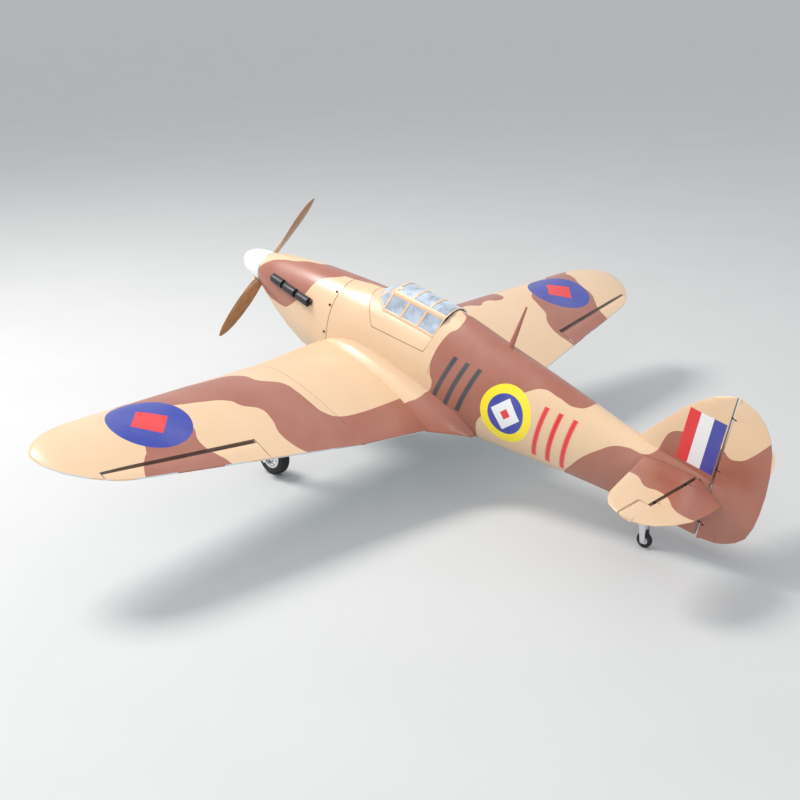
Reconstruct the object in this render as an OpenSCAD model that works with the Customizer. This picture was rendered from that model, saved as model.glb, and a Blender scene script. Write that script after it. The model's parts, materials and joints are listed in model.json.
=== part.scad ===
// Low-wing fighter flying model, about 1:6, two metre span, tail-dragger.
//
// Every module is drawn in the aircraft datum frame, in millimetres: the origin is the spinner
// tip, +X is the aircraft's left, +Y runs aft along the thrust line and +Z is up from it.
// on_the_ground() then turns the whole model nose up, so that it stands on its three wheels with
// the ground at Z = 0 and the middle of its outline at X = Y = 0.

/* [Airframe] */
// Wing span, tip to tip
wing_span = 2000; // [1980:5:2020]
// Wing chord at the centre line, if the edges ran straight through
root_chord = 472; // [466:1:476]
// Distance of the wing's leading edge behind the spinner tip, at the centre line
wing_front = 383; // [381:1:385]
// Dihedral of the outer wing panels, degrees
dihedral = 4; // [3:0.5:5]
// Half width of the flat wing centre section
panel_x = 312; // [310:1:314]
// Thickness of the fuselage skin
skin = 2.4; // [2:0.1:3]

/* [Power] */
// Propeller diameter
prop_diameter = 457; // [430:1:470]
// Angle of the propeller above the wing line when it is parked, degrees
prop_parked = 49.5; // [0:0.5:180]
// Radius of the spinner at its back plate
spinner_radius = 44.5; // [43:0.5:45]
// Length of the spinner
spinner_length = 98; // [94:1:99]

/* [Undercarriage] */
// Radius of a main tyre
main_tyre_radius = 48; // [46:0.5:48]
// Half of the distance between the main tyres' middles
half_track = 262; // [260:1:264]
// Distance of the main axles behind the spinner tip
main_axle_y = 462.7; // [461:0.1:464]
// Depth of the main axles below the thrust line
main_axle_drop = 318.1; // [310:0.1:320]
// Radius of the tail tyre
tail_tyre_radius = 18; // [16:0.5:18]

/* [Controls] */
// Chord of the split flaps
flap_chord = 62; // [58:1:64]
// Gap in front of the ailerons, elevators and rudder
control_gap = 4.5; // [2:0.5:6]

/* [Hidden] */
$fn = 48;

// ---- running clearances
bearing_play = 0.05;
fit_gap = 0.3;
seam_gap = 0.4;

// ---- colours
TAN = "#eed0ac";
BROWN = "#b26c5c";
PALE = "#cddae4";
WOOD = "#be8246";
PLYWOOD = "#d2b48c";

// ---- fuselage sections: [y, half width, top z, bottom z, waist z, top power, bottom power]
// Each section is a pair of superellipse halves that meet at the waist.
DECK = [
    [103, 46, 46, -46, 0, 2, 2],
    [140, 56, 57, -70, -3, 2, 2.1],
    [180, 64, 66, -92, -8, 2, 2.2],
    [240, 73, 77, -120, -12, 2.05, 2.3],
    [300, 80, 86, -138, -14, 2.1, 2.4],
    [420, 88, 98, -144, -15, 2.1, 2.6],
    [520, 90, 106, -142, -16, 2.1, 2.6],
    [640, 90, 106, -140, -16, 2.15, 2.6],
    [762, 88, 104, -137, -14, 2.15, 2.6]
];
TAIL_CONE = [
    [720, 89, 149, -138, -15, 1.65, 2.6],
    [762, 88, 148, -137, -14, 1.65, 2.6],
    [920, 80, 125, -118, -10, 1.85, 2.3],
    [1100, 65, 101, -96, -4, 2, 2.1],
    [1290, 44, 76, -80, 2, 2, 2],
    [1400, 28, 70, -76, 2, 2, 2],
    [1474, 12, 66, -75, 0, 2.2, 2.2]
];
body_points = 32;
cowl_seam_y = 421;
cowl_seam_z = -50;
cowl_seam_bend = 0.0175;
belly_split_z = -88;
belly_front = 381;
belly_back = 872;

// ---- hatch and canopy
HATCH_SIDE = [[496, 112], [562, 42], [731, 47], [754, 149], [754, 170], [496, 170]];
canopy_front = 512;
canopy_arch = 567;
canopy_back = 737;
canopy_lean = 20;
sill_z = 74;
// half of one canopy arch, from the sill to the ridge: [x, z]
CANOPY_ARCH = [[58, 66], [56, 84], [38, 133], [20, 146], [0, 151]];
glass_thickness = 1.4;

// ---- wing
wing_z = -90;
incidence = 2.5;
incidence_pivot_y = 600;
edge_sweep = 0.0857;
trailing_sweep = 0.187;
tip_start = 850;
tip_y = 548;
camber = 0.03;
camber_place = 0.4;
te_thickness = 3.4;
foil_steps = 11;
half_span = wing_span / 2;

// ---- control surfaces: each X pair is the inner and outer end, each Y the hinge line there
AILERON_X = [551, 914];
AILERON_HINGE_Y = [694, 653];
FLAP_INNER_X = [104, panel_x - 6];
FLAP_OUTER_X = [panel_x + 6, 544];
flap_depth = 6;
wire_radius = 0.8;
tail_z = 52;
tail_thickness = 12;
tail_tip_x = 267;
elevator_y = 1446;
elevator_root_x = 14;
horn_x = 191;
horn_y = 1422;
horn_gap = 2.4;
rudder_y = 1478;
rudder_top = 256;
rudder_bottom = -75;

// ---- undercarriage: the legs fold inwards about an axis at leg_pivot_z
leg_x = half_track + 26;
leg_pivot_z = -100;
tail_axle_y = 1368.1;
tail_axle_z = -149.4;
steer_y = 1356;

// Outline of the fin and rudder, seen from the side: [z, y]
FIN_FRONT = [[40, 1262], [74, 1289], [107, 1313], [145, 1341], [180, 1368], [209, 1396],
    [234, 1425], [248, 1450], [rudder_top, 1474]];
RUDDER_BACK = [[rudder_bottom, 1484], [-70, 1516], [-57, 1545], [-43, 1564], [-24, 1580], [7, 1589],
    [42, 1592], [87, 1592], [128, 1588], [173, 1579], [205, 1566], [228, 1548], [245, 1524],
    [rudder_top, 1484]];
// Outline of the tailplane and elevator, seen from above: [x, y]
TAIL_FRONT = [[0, 1322], [27, 1327], [100, 1344], [164, 1357], [210, 1367], [234, 1377],
    [255, 1395], [tail_tip_x, 1428]];
TAIL_BACK = [[61, 1534], [105, 1536], [162, 1530], [206, 1515], [241, 1494], [257, 1475],
    [tail_tip_x, 1434]];

// ---- stance on the ground
wheel_base = norm([tail_axle_y - main_axle_y, tail_axle_z + main_axle_drop]);
axle_line_angle = atan2(tail_axle_z + main_axle_drop, tail_axle_y - main_axle_y);
ground_angle = axle_line_angle + asin((main_tyre_radius - tail_tyre_radius) / wheel_base);
ride_height = main_tyre_radius + main_axle_y * sin(ground_angle) + main_axle_drop * cos(ground_angle);
rudder_reach = max([for (z = [rudder_bottom : 5 : rudder_top])
    along(RUDDER_BACK, z, 1) * cos(ground_angle) + z * sin(ground_angle)]);
row_shift_y = -rudder_reach / 2;

// ======== helper functions ========

function mix(a, b, t) = a + (b - a) * t;

function row_of(table, s, i = 0) =
    (i >= len(table) - 2 || s < table[i + 1][0]) ? i : row_of(table, s, i + 1);

function rise(table, i, k) =
    (table[i + 1][k] - table[i][k]) / (table[i + 1][0] - table[i][0]);

function slope(table, i, k) =
    i == 0 ? rise(table, 0, k)
    : i == len(table) - 1 ? rise(table, i - 1, k)
    : let (a = rise(table, i - 1, k), b = rise(table, i, k)) (a * b <= 0 ? 0 : 2 * a * b / (a + b));

// Column k of a table at station s, on a smooth curve that never overshoots the rows
function along(table, s, k) =
    let (
        i = row_of(table, s),
        h = table[i + 1][0] - table[i][0],
        t = min(1, max(0, (s - table[i][0]) / h))
    )
    (2 * t ^ 3 - 3 * t ^ 2 + 1) * table[i][k] + (t ^ 3 - 2 * t ^ 2 + t) * h * slope(table, i, k)
    + (3 * t ^ 2 - 2 * t ^ 3) * table[i + 1][k] + (t ^ 3 - t ^ 2) * h * slope(table, i + 1, k);

function super(v, power) = sign(v) * pow(abs(v), 2 / power);

// One fuselage section, clockwise from the top as seen from the nose
function body_ring(table, y, inset = 0) =
    let (
        w = along(table, y, 1) - inset,
        waist = along(table, y, 4),
        up = along(table, y, 2) - waist - inset,
        down = waist - along(table, y, 3) - inset
    )
    [for (i = [0 : body_points - 1])
        let (a = 360 * i / body_points, n = along(table, y, cos(a) >= 0 ? 5 : 6))
        [w * super(sin(a), n), y, waist + (cos(a) >= 0 ? up : down) * super(cos(a), n)]];

// The joint between cowl and fuselage is straight down to cowl_seam_z and then curves forward
function cowl_seam(z) =
    max(belly_front - 1, cowl_seam_y - cowl_seam_bend * max(0, cowl_seam_z - z) ^ 2);

// Leading and trailing edges of the wing at distance x from the centre line
function straight_front(x) = wing_front + edge_sweep * x;
function straight_back(x) = wing_front + root_chord - trailing_sweep * x;
function tip_turn(x) = max(0, (x - tip_start) / (half_span - tip_start));
function wing_edge_front(x) =
    x <= tip_start ? straight_front(x)
    : tip_y - (tip_y - straight_front(x)) * pow(max(0.0008, 1 - pow(tip_turn(x), 2.3)), 0.5);
function wing_edge_back(x) =
    x <= tip_start ? straight_back(x)
    : tip_y + (straight_back(x) - tip_y) * pow(max(0.0008, 1 - pow(tip_turn(x), 2)), 0.53);
function wing_chord(x) = wing_edge_back(x) - wing_edge_front(x);

// Cambered section: half thickness and camber at chord fraction u
function thickness_ratio(x) = 0.165 - 0.05 * min(1, x / 900);
function foil_half(u, ratio) =
    5 * ratio * (0.2969 * sqrt(u) - 0.126 * u - 0.3516 * u ^ 2 + 0.2843 * u ^ 3 - 0.1036 * u ^ 4);
function foil_camber(u) =
    u < camber_place ? camber / camber_place ^ 2 * (2 * camber_place * u - u ^ 2)
    : camber / (1 - camber_place) ^ 2 * ((1 - 2 * camber_place) + 2 * camber_place * u - u ^ 2);

function wing_plane(x, y) =
    wing_z - tan(incidence) * (y - incidence_pivot_y) + tan(dihedral) * max(0, x - panel_x);

// Height of the wing skin at (x, y); side is 1 for the upper skin and -1 for the lower
function wing_skin(x, y, side) =
    let (c = wing_chord(x), u = min(1, max(0, (y - wing_edge_front(x)) / c)))
    wing_plane(x, y) + foil_camber(u) * c
    + side * (foil_half(u, thickness_ratio(x)) * c + u * te_thickness / 2 * min(1, c / 120));

// One wing section at x, clockwise from the trailing edge as seen from the root
function wing_ring(x, grow = 0) =
    let (a = abs(x), c = wing_chord(a) + 2 * grow)
    [for (i = [-foil_steps : foil_steps])
        let (
            side = i < 0 ? 1 : -1,
            y = wing_edge_front(a) - grow + c * (1 - cos(180 * i / foil_steps)) / 2
        )
        [x, y, wing_skin(a, y, side) + side * grow]];

function panel_stations(x0) = concat(
    [for (i = [0 : 4]) mix(x0, tip_start, i / 4)],
    [for (a = [22 : 17 : 73]) mix(tip_start, half_span, sin(a))],
    [half_span - 1.2, half_span]);

// ======== helper modules ========

// Sets the finished model on the ground
module on_the_ground()
    translate([0, row_shift_y, ride_height]) rotate([-ground_angle, 0, 0]) children();

// Keeps its children as one faceted solid
module as_mesh() resize([0, 0, 0]) children();

// Closed solid through a row of rings that all have the same number of points
module loft(rings) {
    n = len(rings[0]);
    m = len(rings);
    polyhedron(
        [for (r = rings) for (p = r) p],
        concat(
            [[for (i = [0 : n - 1]) i]],
            [for (j = [0 : m - 2]) for (i = [0 : n - 1]) let (k = (i + 1) % n)
                [j * n + i, (j + 1) * n + i, (j + 1) * n + k, j * n + k]],
            [[for (i = [n - 1 : -1 : 0]) (m - 1) * n + i]]));
}

module on_both_sides() {
    children();
    mirror([1, 0, 0]) children();
}

module side_cut(outline, half_width = 200)
    rotate([90, 0, 90]) linear_extrude(2 * half_width, center = true) polygon(outline);

module tube(r_out, r_in, h) difference() {
    cylinder(r = r_out, h = h);
    translate([0, 0, -1]) cylinder(r = r_in, h = h + 2);
}

module block(x0, x1, y0, y1, z0, z1) translate([x0, y0, z0]) cube([x1 - x0, y1 - y0, z1 - z0]);

// A cylinder along +X from the given point
module bar_x(p, r, length) translate(p) rotate([0, 90, 0]) cylinder(r = r, h = length);

// A cylinder from p to q, lengthened by extra at both ends
module bar_between(p, q, r, extra = 0) {
    v = q - p;
    length = norm(v);
    translate(p) rotate([0, acos(v[2] / length), atan2(v[1], v[0])])
        translate([0, 0, -extra]) cylinder(r = r, h = length + 2 * extra);
}

// ======== fuselage ========

deck_stations = [103, 120, 140, 180, 240, 300, 360, 420, 470, 520, 600, 680, 762];
cone_stations = [720, 762, 800, 840, 880, 920, 980, 1040, 1100, 1160, 1230, 1290, 1350, 1400, 1440, 1474];

function body_x(table, y, z) =
    let (
        waist = along(table, y, 4),
        t = z > waist ? (z - waist) / (along(table, y, 2) - waist)
            : (waist - z) / (waist - along(table, y, 3)),
        n = along(table, y, z > waist ? 5 : 6)
    )
    along(table, y, 1) * pow(max(0, 1 - pow(min(1, t), n)), 1 / n);

module deck_body(inset = 0, from = 0)
    loft([for (y = deck_stations) if (y >= from) body_ring(DECK, y, inset)]);

// The tail cone starts at a face that leans aft, just behind the hatch
module cone_body(inset = 0) difference() {
    loft([for (i = [0 : len(cone_stations) - 1])
        let (last = i == len(cone_stations) - 1)
        translate_y(body_ring(TAIL_CONE, cone_stations[i], inset), last ? -max(0, inset) : 0)]);
    side_cut([
        [HATCH_SIDE[2][0] + max(0, inset) - 60, HATCH_SIDE[2][1]],
        [HATCH_SIDE[2][0] + max(0, inset), HATCH_SIDE[2][1]],
        [HATCH_SIDE[3][0] + max(0, inset) + 5, HATCH_SIDE[4][1]],
        [HATCH_SIDE[2][0] - 60, HATCH_SIDE[4][1]]]);
}

function translate_y(ring, shift) = [for (p = ring) [p[0], p[1] + shift, p[2]]];

module body(inset = 0) {
    deck_body(inset);
    cone_body(inset);
}

module body_skin() difference() {
    body();
    body(skin);
}

// Everything ahead of the cowl seam, or everything behind it
module seam_side(behind, gap) side_cut(concat(
    [for (z = [-180 : 12 : 132]) [cowl_seam(z) + gap, z]],
    behind ? [[2000, 132], [2000, -180]] : [[0, 132], [0, -180]]));

module belly_region(gap)
    block(-150, 150, belly_front - 40, belly_back + gap, -250, belly_split_z + gap);

module wing_solid(stations, grow = 0) loft([for (x = stations) wing_ring(x, grow)]);

module wing_core(grow = 0) wing_solid([-panel_x + fit_gap / 2, 0, panel_x - fit_gap / 2], grow);

module hatch_side(grow) side_cut([for (i = [0 : len(HATCH_SIDE) - 1])
    let (p = HATCH_SIDE[i], fore = i == 0 || i == 5, foot = i == 1 || i == 2)
    [p[0] + (fore || i == 1 ? -grow : grow), p[1] + (foot ? -grow : 0)]]);

// Shell of the body behind the cowl, open for the hatch, the wing, the belly pan and the tail
module fuselage_shell() color(TAN) as_mesh() difference() {
    body_skin();
    seam_side(false, seam_gap / 2);
    belly_region(seam_gap / 2);
    hatch_side(0);
    wing_core(seam_gap);
    tail_slab(0.4);
    joiner_slot();
    rudder_lugs(0.2);
}

module engine_cowl() color(TAN) as_mesh() difference() {
    deck_body();
    deck_body(skin);
    translate([0, deck_stations[0] - 5, 0]) rotate([-90, 0, 0])
        cylinder(r = spinner_radius - 3, h = 15);
    seam_side(true, -seam_gap / 2);
    wing_core(seam_gap);
    block(-150, 150, belly_front - seam_gap, belly_front + 60, -250, belly_split_z + seam_gap);
    each_cowl_screw() translate([0, 0, -8]) cylinder(r = 1.8, h = 12, $fn = 16);
}

COWL_SCREWS = [[413, 38], [413, -34], [413, 70]];

// Origin on the cowl skin, +Z pointing out of it, on both sides
module each_cowl_screw() on_both_sides() for (s = COWL_SCREWS)
    let (tilt = atan(body_x(DECK, s[0], s[1] - 0.5) - body_x(DECK, s[0], s[1] + 0.5)))
    translate([body_x(DECK, s[0], s[1]), s[0], s[1]]) rotate([0, 90 - tilt, 0]) children();

module cowl_screws() color("dimgray") each_cowl_screw() {
    translate([0, 0, 0.4]) cylinder(r = 2.8, h = 1.8);
    translate([0, 0, -7]) cylinder(r = 1.4, h = 8);
}

// Three joined stubs on each side of the cowl
EXHAUST_Y = [176, 347];
module exhaust_stubs() color("#1c1c20") as_mesh() difference() {
    on_both_sides() for (i = [0 : 2])
        let (y0 = mix(EXHAUST_Y[0], EXHAUST_Y[1], i / 3), pitch = (EXHAUST_Y[1] - EXHAUST_Y[0]) / 3,
            x = body_x(DECK, y0 + pitch / 2, 18)) {
            hull() {
                along_y_at(x - 5, y0 + 1, 20 - i) cylinder(r = 8, h = 1, $fn = 16);
                translate([x + 4, y0 + 14, 20 - i]) sphere(r = 11, $fn = 16);
                along_y_at(x + 6, y0 + pitch - 8, 19 - i) cylinder(r = 12, h = 4, $fn = 16);
            }
            along_y_at(x + 1, y0 + 4, 20 - i) cylinder(r = 8, h = pitch, $fn = 12);
        }
    deck_body(-0.2);
}

FORMER_Y = [508, 778, 920, 1100, 1290];
firewall_y = 446;
module fuselage_formers() color(PLYWOOD) {
    as_mesh() difference() {
        intersection() {
            body(skin + fit_gap);
            union() {
                block(-150, 150, firewall_y, firewall_y + 6, -200, 200);
                for (y = FORMER_Y) block(-150, 150, y, y + 3, -200, 200);
            }
        }
        difference() {
            body(skin + 14);
            block(-150, 150, firewall_y - 5, firewall_y + 10, -200, 200);
        }
        wing_core(1);
        belly_region(1);
        hatch_side(1);
        block(-60, 60, FORMER_Y[0] - 5, FORMER_Y[0] + 8, -30, 60);
    }
    motor_box();
}

box_half = 32;
box_front = 190;
// Lightened plywood box that carries the motor ahead of the firewall
module motor_box() difference() {
    block(-box_half, box_half, box_front, firewall_y - 0.1, -box_half, box_half);
    block(-box_half + 5, box_half - 5, box_front + 5, firewall_y, -box_half + 5, box_half - 5);
    translate([0, box_front - 1, 0]) rotate([-90, 0, 0]) cylinder(r = 9, h = 8);
    for (y = [230 : 55 : 400]) bar_x([-50, y, 0], 15, 100);
}

shaft_radius = 5;
bell_radius = 31.5;
module along_y(y) translate([0, y, 0]) rotate([-90, 0, 0]) children();

// The stator and its mount, bored for the shaft
module motor_stator() color("#7a4b2a") along_y(0) difference() {
    union() {
        translate([0, 0, 137]) cylinder(r = bell_radius - 3.5, h = 34);
        translate([0, 0, 171]) cylinder(r = 11, h = 12);
        translate([0, 0, 182]) cylinder(r = 26, h = box_front - 182.1);
    }
    translate([0, 0, 130]) cylinder(r = shaft_radius + bearing_play, h = 70);
}

// The turning bell with its shaft, and the nut that holds the spinner
module motor_bell() color("#2b2b2f") {
    along_y(0) difference() {
        union() {
            translate([0, 0, 129]) cylinder(r = bell_radius, h = 45);
            translate([0, 0, 103.6]) cylinder(r = 11, h = 26);
            translate([0, 0, 60]) cylinder(r = shaft_radius, h = 124);
        }
        translate([0, 0, 134]) tube(bell_radius - 3, shaft_radius, 41);
    }
    along_y(65) tube(9, shaft_radius + bearing_play, 10);
}

module spinner_backplate() color("white") along_y(spinner_length + 1) difference() {
    cylinder(r = spinner_radius, h = 4);
    translate([0, 0, -1]) cylinder(r = shaft_radius + bearing_play, h = 6);
}

function nose_radius(y) = spinner_radius * sqrt(1 - (1 - y / spinner_length) ^ 1.9);

// A thin shell with a slot for each blade
module spinner_cone() color("white") difference() {
    along_y(0) rotate_extrude($fn = 96) polygon(concat(
        [for (a = [0 : 7.5 : 90]) let (y = spinner_length * (1 - cos(a))) [nose_radius(y), y]],
        [[spinner_radius - 1.8, spinner_length]],
        [for (a = [82.5 : -7.5 : 0]) let (y = spinner_length * (1 - cos(a)))
            [max(0, (nose_radius(y) - 1.8) * (1 - 2 / spinner_length)), y + 2]]));
    parked_blades() block(20, 80, prop_y - 12, spinner_length + 1, -13, 13);
}

prop_y = 87;
hub_radius = 21;
// [radius, chord, thickness] of a propeller blade
BLADE = [[15, 22, 17], [45, 27, 13], [85, 35, 9.5], [130, 39, 7.2], [172, 35, 5.2], [203, 25, 3.8],
    [217, 16, 2.8], [225, 8, 2], [228.3, 3, 1.4]];
prop_pitch = 254;
steepest_blade = 52;

// Blade section at radius r: the rounded face looks forward, the flat face aft
function blade_ring(r) =
    let (
        chord = along(BLADE, r, 1),
        thick = along(BLADE, r, 2),
        angle = min(steepest_blade, atan(prop_pitch / (2 * PI * r)))
    )
    [for (s = [[0.98, -0.08], [0.7, -0.22], [0.35, -0.25], [0.08, -0.12], [0, 0.08], [0.1, 0.45],
        [0.3, 0.72], [0.55, 0.68], [0.8, 0.42], [0.98, 0.02]])
        let (c = (s[0] - 0.42) * chord, n = s[1] * thick)
        [r, c * sin(angle) - n * cos(angle), -c * cos(angle) - n * sin(angle)]];

// Both blade directions; the first is local +X
module parked_blades() for (turn = [0, 180]) rotate([0, 180 + prop_parked + turn, 0]) children();

module propeller() color(WOOD) difference() {
    as_mesh() {
        along_y(prop_y - 11) cylinder(r = hub_radius, h = 22);
        parked_blades() translate([0, prop_y, 0])
            loft([for (r = [15, 30, 50, 80, 110, 140, 170, 190, 205, 215, 222, 226, 228.3])
                blade_ring(min(r, prop_diameter / 2 - 0.2))]);
    }
    along_y(prop_y - 20) cylinder(r = shaft_radius + bearing_play, h = 40);
}

// ======== wing ========

// Section of a split flap at x; out widens it into its pocket
function flap_ring(x, out = 0) =
    let (
        a = abs(x),
        back = wing_edge_back(a),
        fore = back - flap_chord - 1.6 * out,
        aft = back + 6 * out,
        floor_fore = wing_skin(a, fore, -1),
        floor_aft = wing_skin(a, back, -1)
    )
    [[x, aft, floor_aft + 1.3 + 0.4 * out - 0.5 * out], [x, fore, floor_fore + flap_depth + 2 * out],
        [x, fore, floor_fore - 12 * out], [x, aft, floor_aft - 12 * out]];

function flap_wire(x) =
    let (y = wing_edge_back(x) - flap_chord)
    [x, y + 2.5, wing_skin(x, y, -1) + 2.5];

module flap(span) color(PALE) difference() {
    as_mesh() loft([flap_ring(span[0]), flap_ring(span[1])]);
    bar_between(flap_wire(span[0]), flap_wire(span[1]), wire_radius + bearing_play, 2);
}

// The recess in the wing's underside that a closed flap fills
module flap_pocket(span) {
    loft([flap_ring(span[0] - 0.6, 1), flap_ring(span[1] + 0.6, 1)]);
    bar_between(flap_wire(span[0]), flap_wire(span[1]), wire_radius + 0.3, 6, $fn = 16);
}

// Aileron: a rounded nose that turns about a straight wire, flush with the wing behind it
function hinge_y(x) = mix(AILERON_HINGE_Y[0], AILERON_HINGE_Y[1],
    (x - AILERON_X[0]) / (AILERON_X[1] - AILERON_X[0]));
function skin_gap(x, y) = (wing_skin(x, y, 1) - wing_skin(x, y, -1)) / 2;
function aileron_end(x) =
    let (y = hinge_y(x) + control_gap / 2 + skin_gap(x, hinge_y(x) + control_gap))
    [x, y, (wing_skin(x, y, 1) + wing_skin(x, y, -1)) / 2];
aileron_root = aileron_end(AILERON_X[0]);
aileron_tip = aileron_end(AILERON_X[1]);
function aileron_axis(x) =
    mix(aileron_root, aileron_tip, (x - AILERON_X[0]) / (AILERON_X[1] - AILERON_X[0]));
function aileron_nose(x) =
    let (c = aileron_axis(x))
    min(wing_skin(x, c[1], 1) - c[2], c[2] - wing_skin(x, c[1], -1));

function aileron_ring(x) =
    let (c = aileron_axis(x), r = aileron_nose(x), back = wing_edge_back(x), mid = (c[1] + back) / 2)
    concat(
        [[x, back, wing_skin(x, back, 1)], [x, mid, wing_skin(x, mid, 1)]],
        [for (a = [90 : 30 : 270]) [x, c[1] + r * cos(a), c[2] + r * sin(a)]],
        [[x, mid, wing_skin(x, mid, -1)], [x, back, wing_skin(x, back, -1)]]);

aileron_stations = [AILERON_X[0] + 1.5, 640, 730, 800, tip_start, 875, 897, AILERON_X[1] - 1.5];

// The cut-out behind the wing's aileron spar, and the holes for the wire's ends
module aileron_pocket() {
    translate([0, 0, -200]) linear_extrude(400) polygon([
        [AILERON_X[0] - 1, hinge_y(AILERON_X[0]) - control_gap / 2],
        [AILERON_X[1] + 1, hinge_y(AILERON_X[1]) - control_gap / 2],
        [AILERON_X[1] + 1, 800], [AILERON_X[0] - 1, 800]]);
    bar_between(aileron_root, aileron_tip, wire_radius + 0.3, 8, $fn = 16);
}

// Aileron linkage: a parallelogram of servo arm, rod, horn and wing, drawn in the hinge frame
linkage_x = 716;
linkage_reach = 96;
linkage_arm = 24;
linkage_drop = 5;
horn_plate = 2;
hinge_run = aileron_tip - aileron_root;
module hinge_frame() translate(aileron_axis(linkage_x))
    rotate([0, 0, atan2(hinge_run[1], hinge_run[0])])
    rotate([0, -asin(hinge_run[2] / norm(hinge_run)), 0]) children();

module aileron_horn() hinge_frame() difference() {
    block(-horn_plate / 2, horn_plate / 2, -5, 7, -linkage_arm - 3, 0);
    bar_x([-5, 0, -linkage_arm], wire_radius + 0.6, 10);
    bar_x([-5, 0, 0], wire_radius + bearing_play, 10);
}

module aileron() {
    color(TAN) difference() {
        as_mesh() loft([for (x = aileron_stations) aileron_ring(x)]);
        bar_between(aileron_root, aileron_tip, wire_radius + bearing_play, 2);
        hinge_frame() block(-horn_plate / 2 - 0.1, horn_plate / 2 + 0.1, -5.1, 7.1, -linkage_arm, 0.1);
    }
    color("black") aileron_horn();
}

module aileron_arm() color("black") hinge_frame()
    translate([0, -linkage_reach, -linkage_drop]) difference() {
        union() {
            bar_x([-2, 0, 0], 4, 4);
            block(-horn_plate / 2, horn_plate / 2, -3, 3, -linkage_arm - 3, 0);
        }
        bar_x([-5, 0, 0], 1.5 + bearing_play, 10);
        bar_x([-5, 0, -linkage_arm], wire_radius + bearing_play, 10);
    }

// The rod's bent ends pass through the arm and the horn
module aileron_rod() color("silver") hinge_frame() {
    foot = [horn_plate, -linkage_reach, -linkage_drop - linkage_arm];
    head = [horn_plate, 0, -linkage_arm];
    bar_between(foot + [1, 0, 0], head + [1, 0, 0], wire_radius, 1);
    for (p = [foot, head]) bar_x(p + [-horn_plate - 1.6, 0, 0], wire_radius - 0.04, horn_plate + 2.6);
}

module aileron_servo() color("#26262b") hinge_frame()
    translate([0, -linkage_reach, -linkage_drop]) {
        block(-20, -3, -26, 10, -7, 17);
        bar_x([-3.5, 0, 0], 1.5, 5);
    }

module aileron_servo_bay() hinge_frame()
    translate([0, -linkage_reach, -linkage_drop]) {
        block(-22, -2, -28, 12, -40, 18);
        block(-4, 6, -14, 36, -40, 7);
    }

wheel_stowed_x = leg_x - (main_axle_drop + leg_pivot_z);
wheel_stowed_z = leg_pivot_z + leg_x - half_track;
// Room for the folded wheel, with its strut long or short, and for the leg
module gear_bay() on_both_sides() {
    for (shift = [0, oleo_travel]) translate([wheel_stowed_x + shift, main_axle_y, -250])
        cylinder(r = main_tyre_radius + 3, h = 250 + wheel_stowed_z + 17);
    block(wheel_stowed_x, wheel_stowed_x + oleo_travel, main_axle_y - main_tyre_radius - 3,
        main_axle_y + main_tyre_radius + 3, -250, wheel_stowed_z + 17);
    block(wheel_stowed_x - 14, leg_x - 12, main_axle_y - 14, main_axle_y + 14, -250, leg_pivot_z + 14);
    block(leg_x - 20, leg_x + 17, main_axle_y - 22, main_axle_y + 22, -250, leg_pivot_z + 16);
}

joiner_radius = 11;
joiner_y = 545;
module joiner(r, extra = 0) bar_x([-470 - extra, joiner_y, wing_plane(0, joiner_y) + 9], r, 940 + 2 * extra);

// The joiner tube is straight; the outer panels' sockets follow it, tilted against the dihedral
module wing_joiner_tube() color("#303034") difference() {
    joiner(joiner_radius);
    joiner(joiner_radius - 1.5, 1);
}

module wing_centre_section() color(TAN) as_mesh() difference() {
    wing_core();
    on_both_sides() flap_pocket(FLAP_INNER_X);
    gear_bay();
    joiner(joiner_radius + 0.3, 1, $fn = 32);
}

module outer_wing() color(TAN) as_mesh() difference() {
    wing_solid(panel_stations(panel_x + fit_gap / 2));
    flap_pocket(FLAP_OUTER_X);
    aileron_pocket();
    aileron_servo_bay();
    joiner(joiner_radius + 0.3, 1, $fn = 32);
}

// Each wire is held in the wing at both ends of its surface
module hinge_wires() color("silver") {
    on_both_sides() {
        bar_between(aileron_root, aileron_tip, wire_radius, 6);
        for (span = [FLAP_INNER_X, FLAP_OUTER_X])
            bar_between(flap_wire(span[0]), flap_wire(span[1]), wire_radius, 5);
    }
    bar_x([-horn_x + 6, elevator_axis[1], tail_z], wire_radius, 2 * (horn_x - 6));
    for (x = elevator_lug_x) on_both_sides()
        lug([x - 1, x + 1, elevator_y - 9, elevator_axis[1] + 2, tail_z - 2.4, tail_z + 2.4]);
    bar_between([0, rudder_axis_y, RUDDER_LUG_Z[0] - 6],
        [0, rudder_axis_y, RUDDER_LUG_Z[len(RUDDER_LUG_Z) - 1] + 6], wire_radius);
    rudder_lugs(0);
}

module lug(b) block(b[0], b[1], b[2], b[3], b[4], b[5]);

module belly_pan() color(PALE) as_mesh() difference() {
    intersection() {
        body_skin();
        block(-150, 150, belly_front, belly_back - seam_gap / 2, -250, belly_split_z - seam_gap / 2);
    }
    wing_core(seam_gap);
    gear_bay();
}

radiator_y = [566, 742];
module belly_radiator() color(PALE) as_mesh() difference() {
    hull() {
        block(-40, 40, radiator_y[0], radiator_y[0] + 20, -140, -120);
        block(-34, 34, radiator_y[0] + 4, radiator_y[0] + 70, -172, -150);
        block(-28, 28, radiator_y[1] - 20, radiator_y[1], -142, -120);
    }
    body(-0.2);
    block(-28, 28, radiator_y[0] - 5, radiator_y[0] + 45, -168, -145);
}

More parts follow.
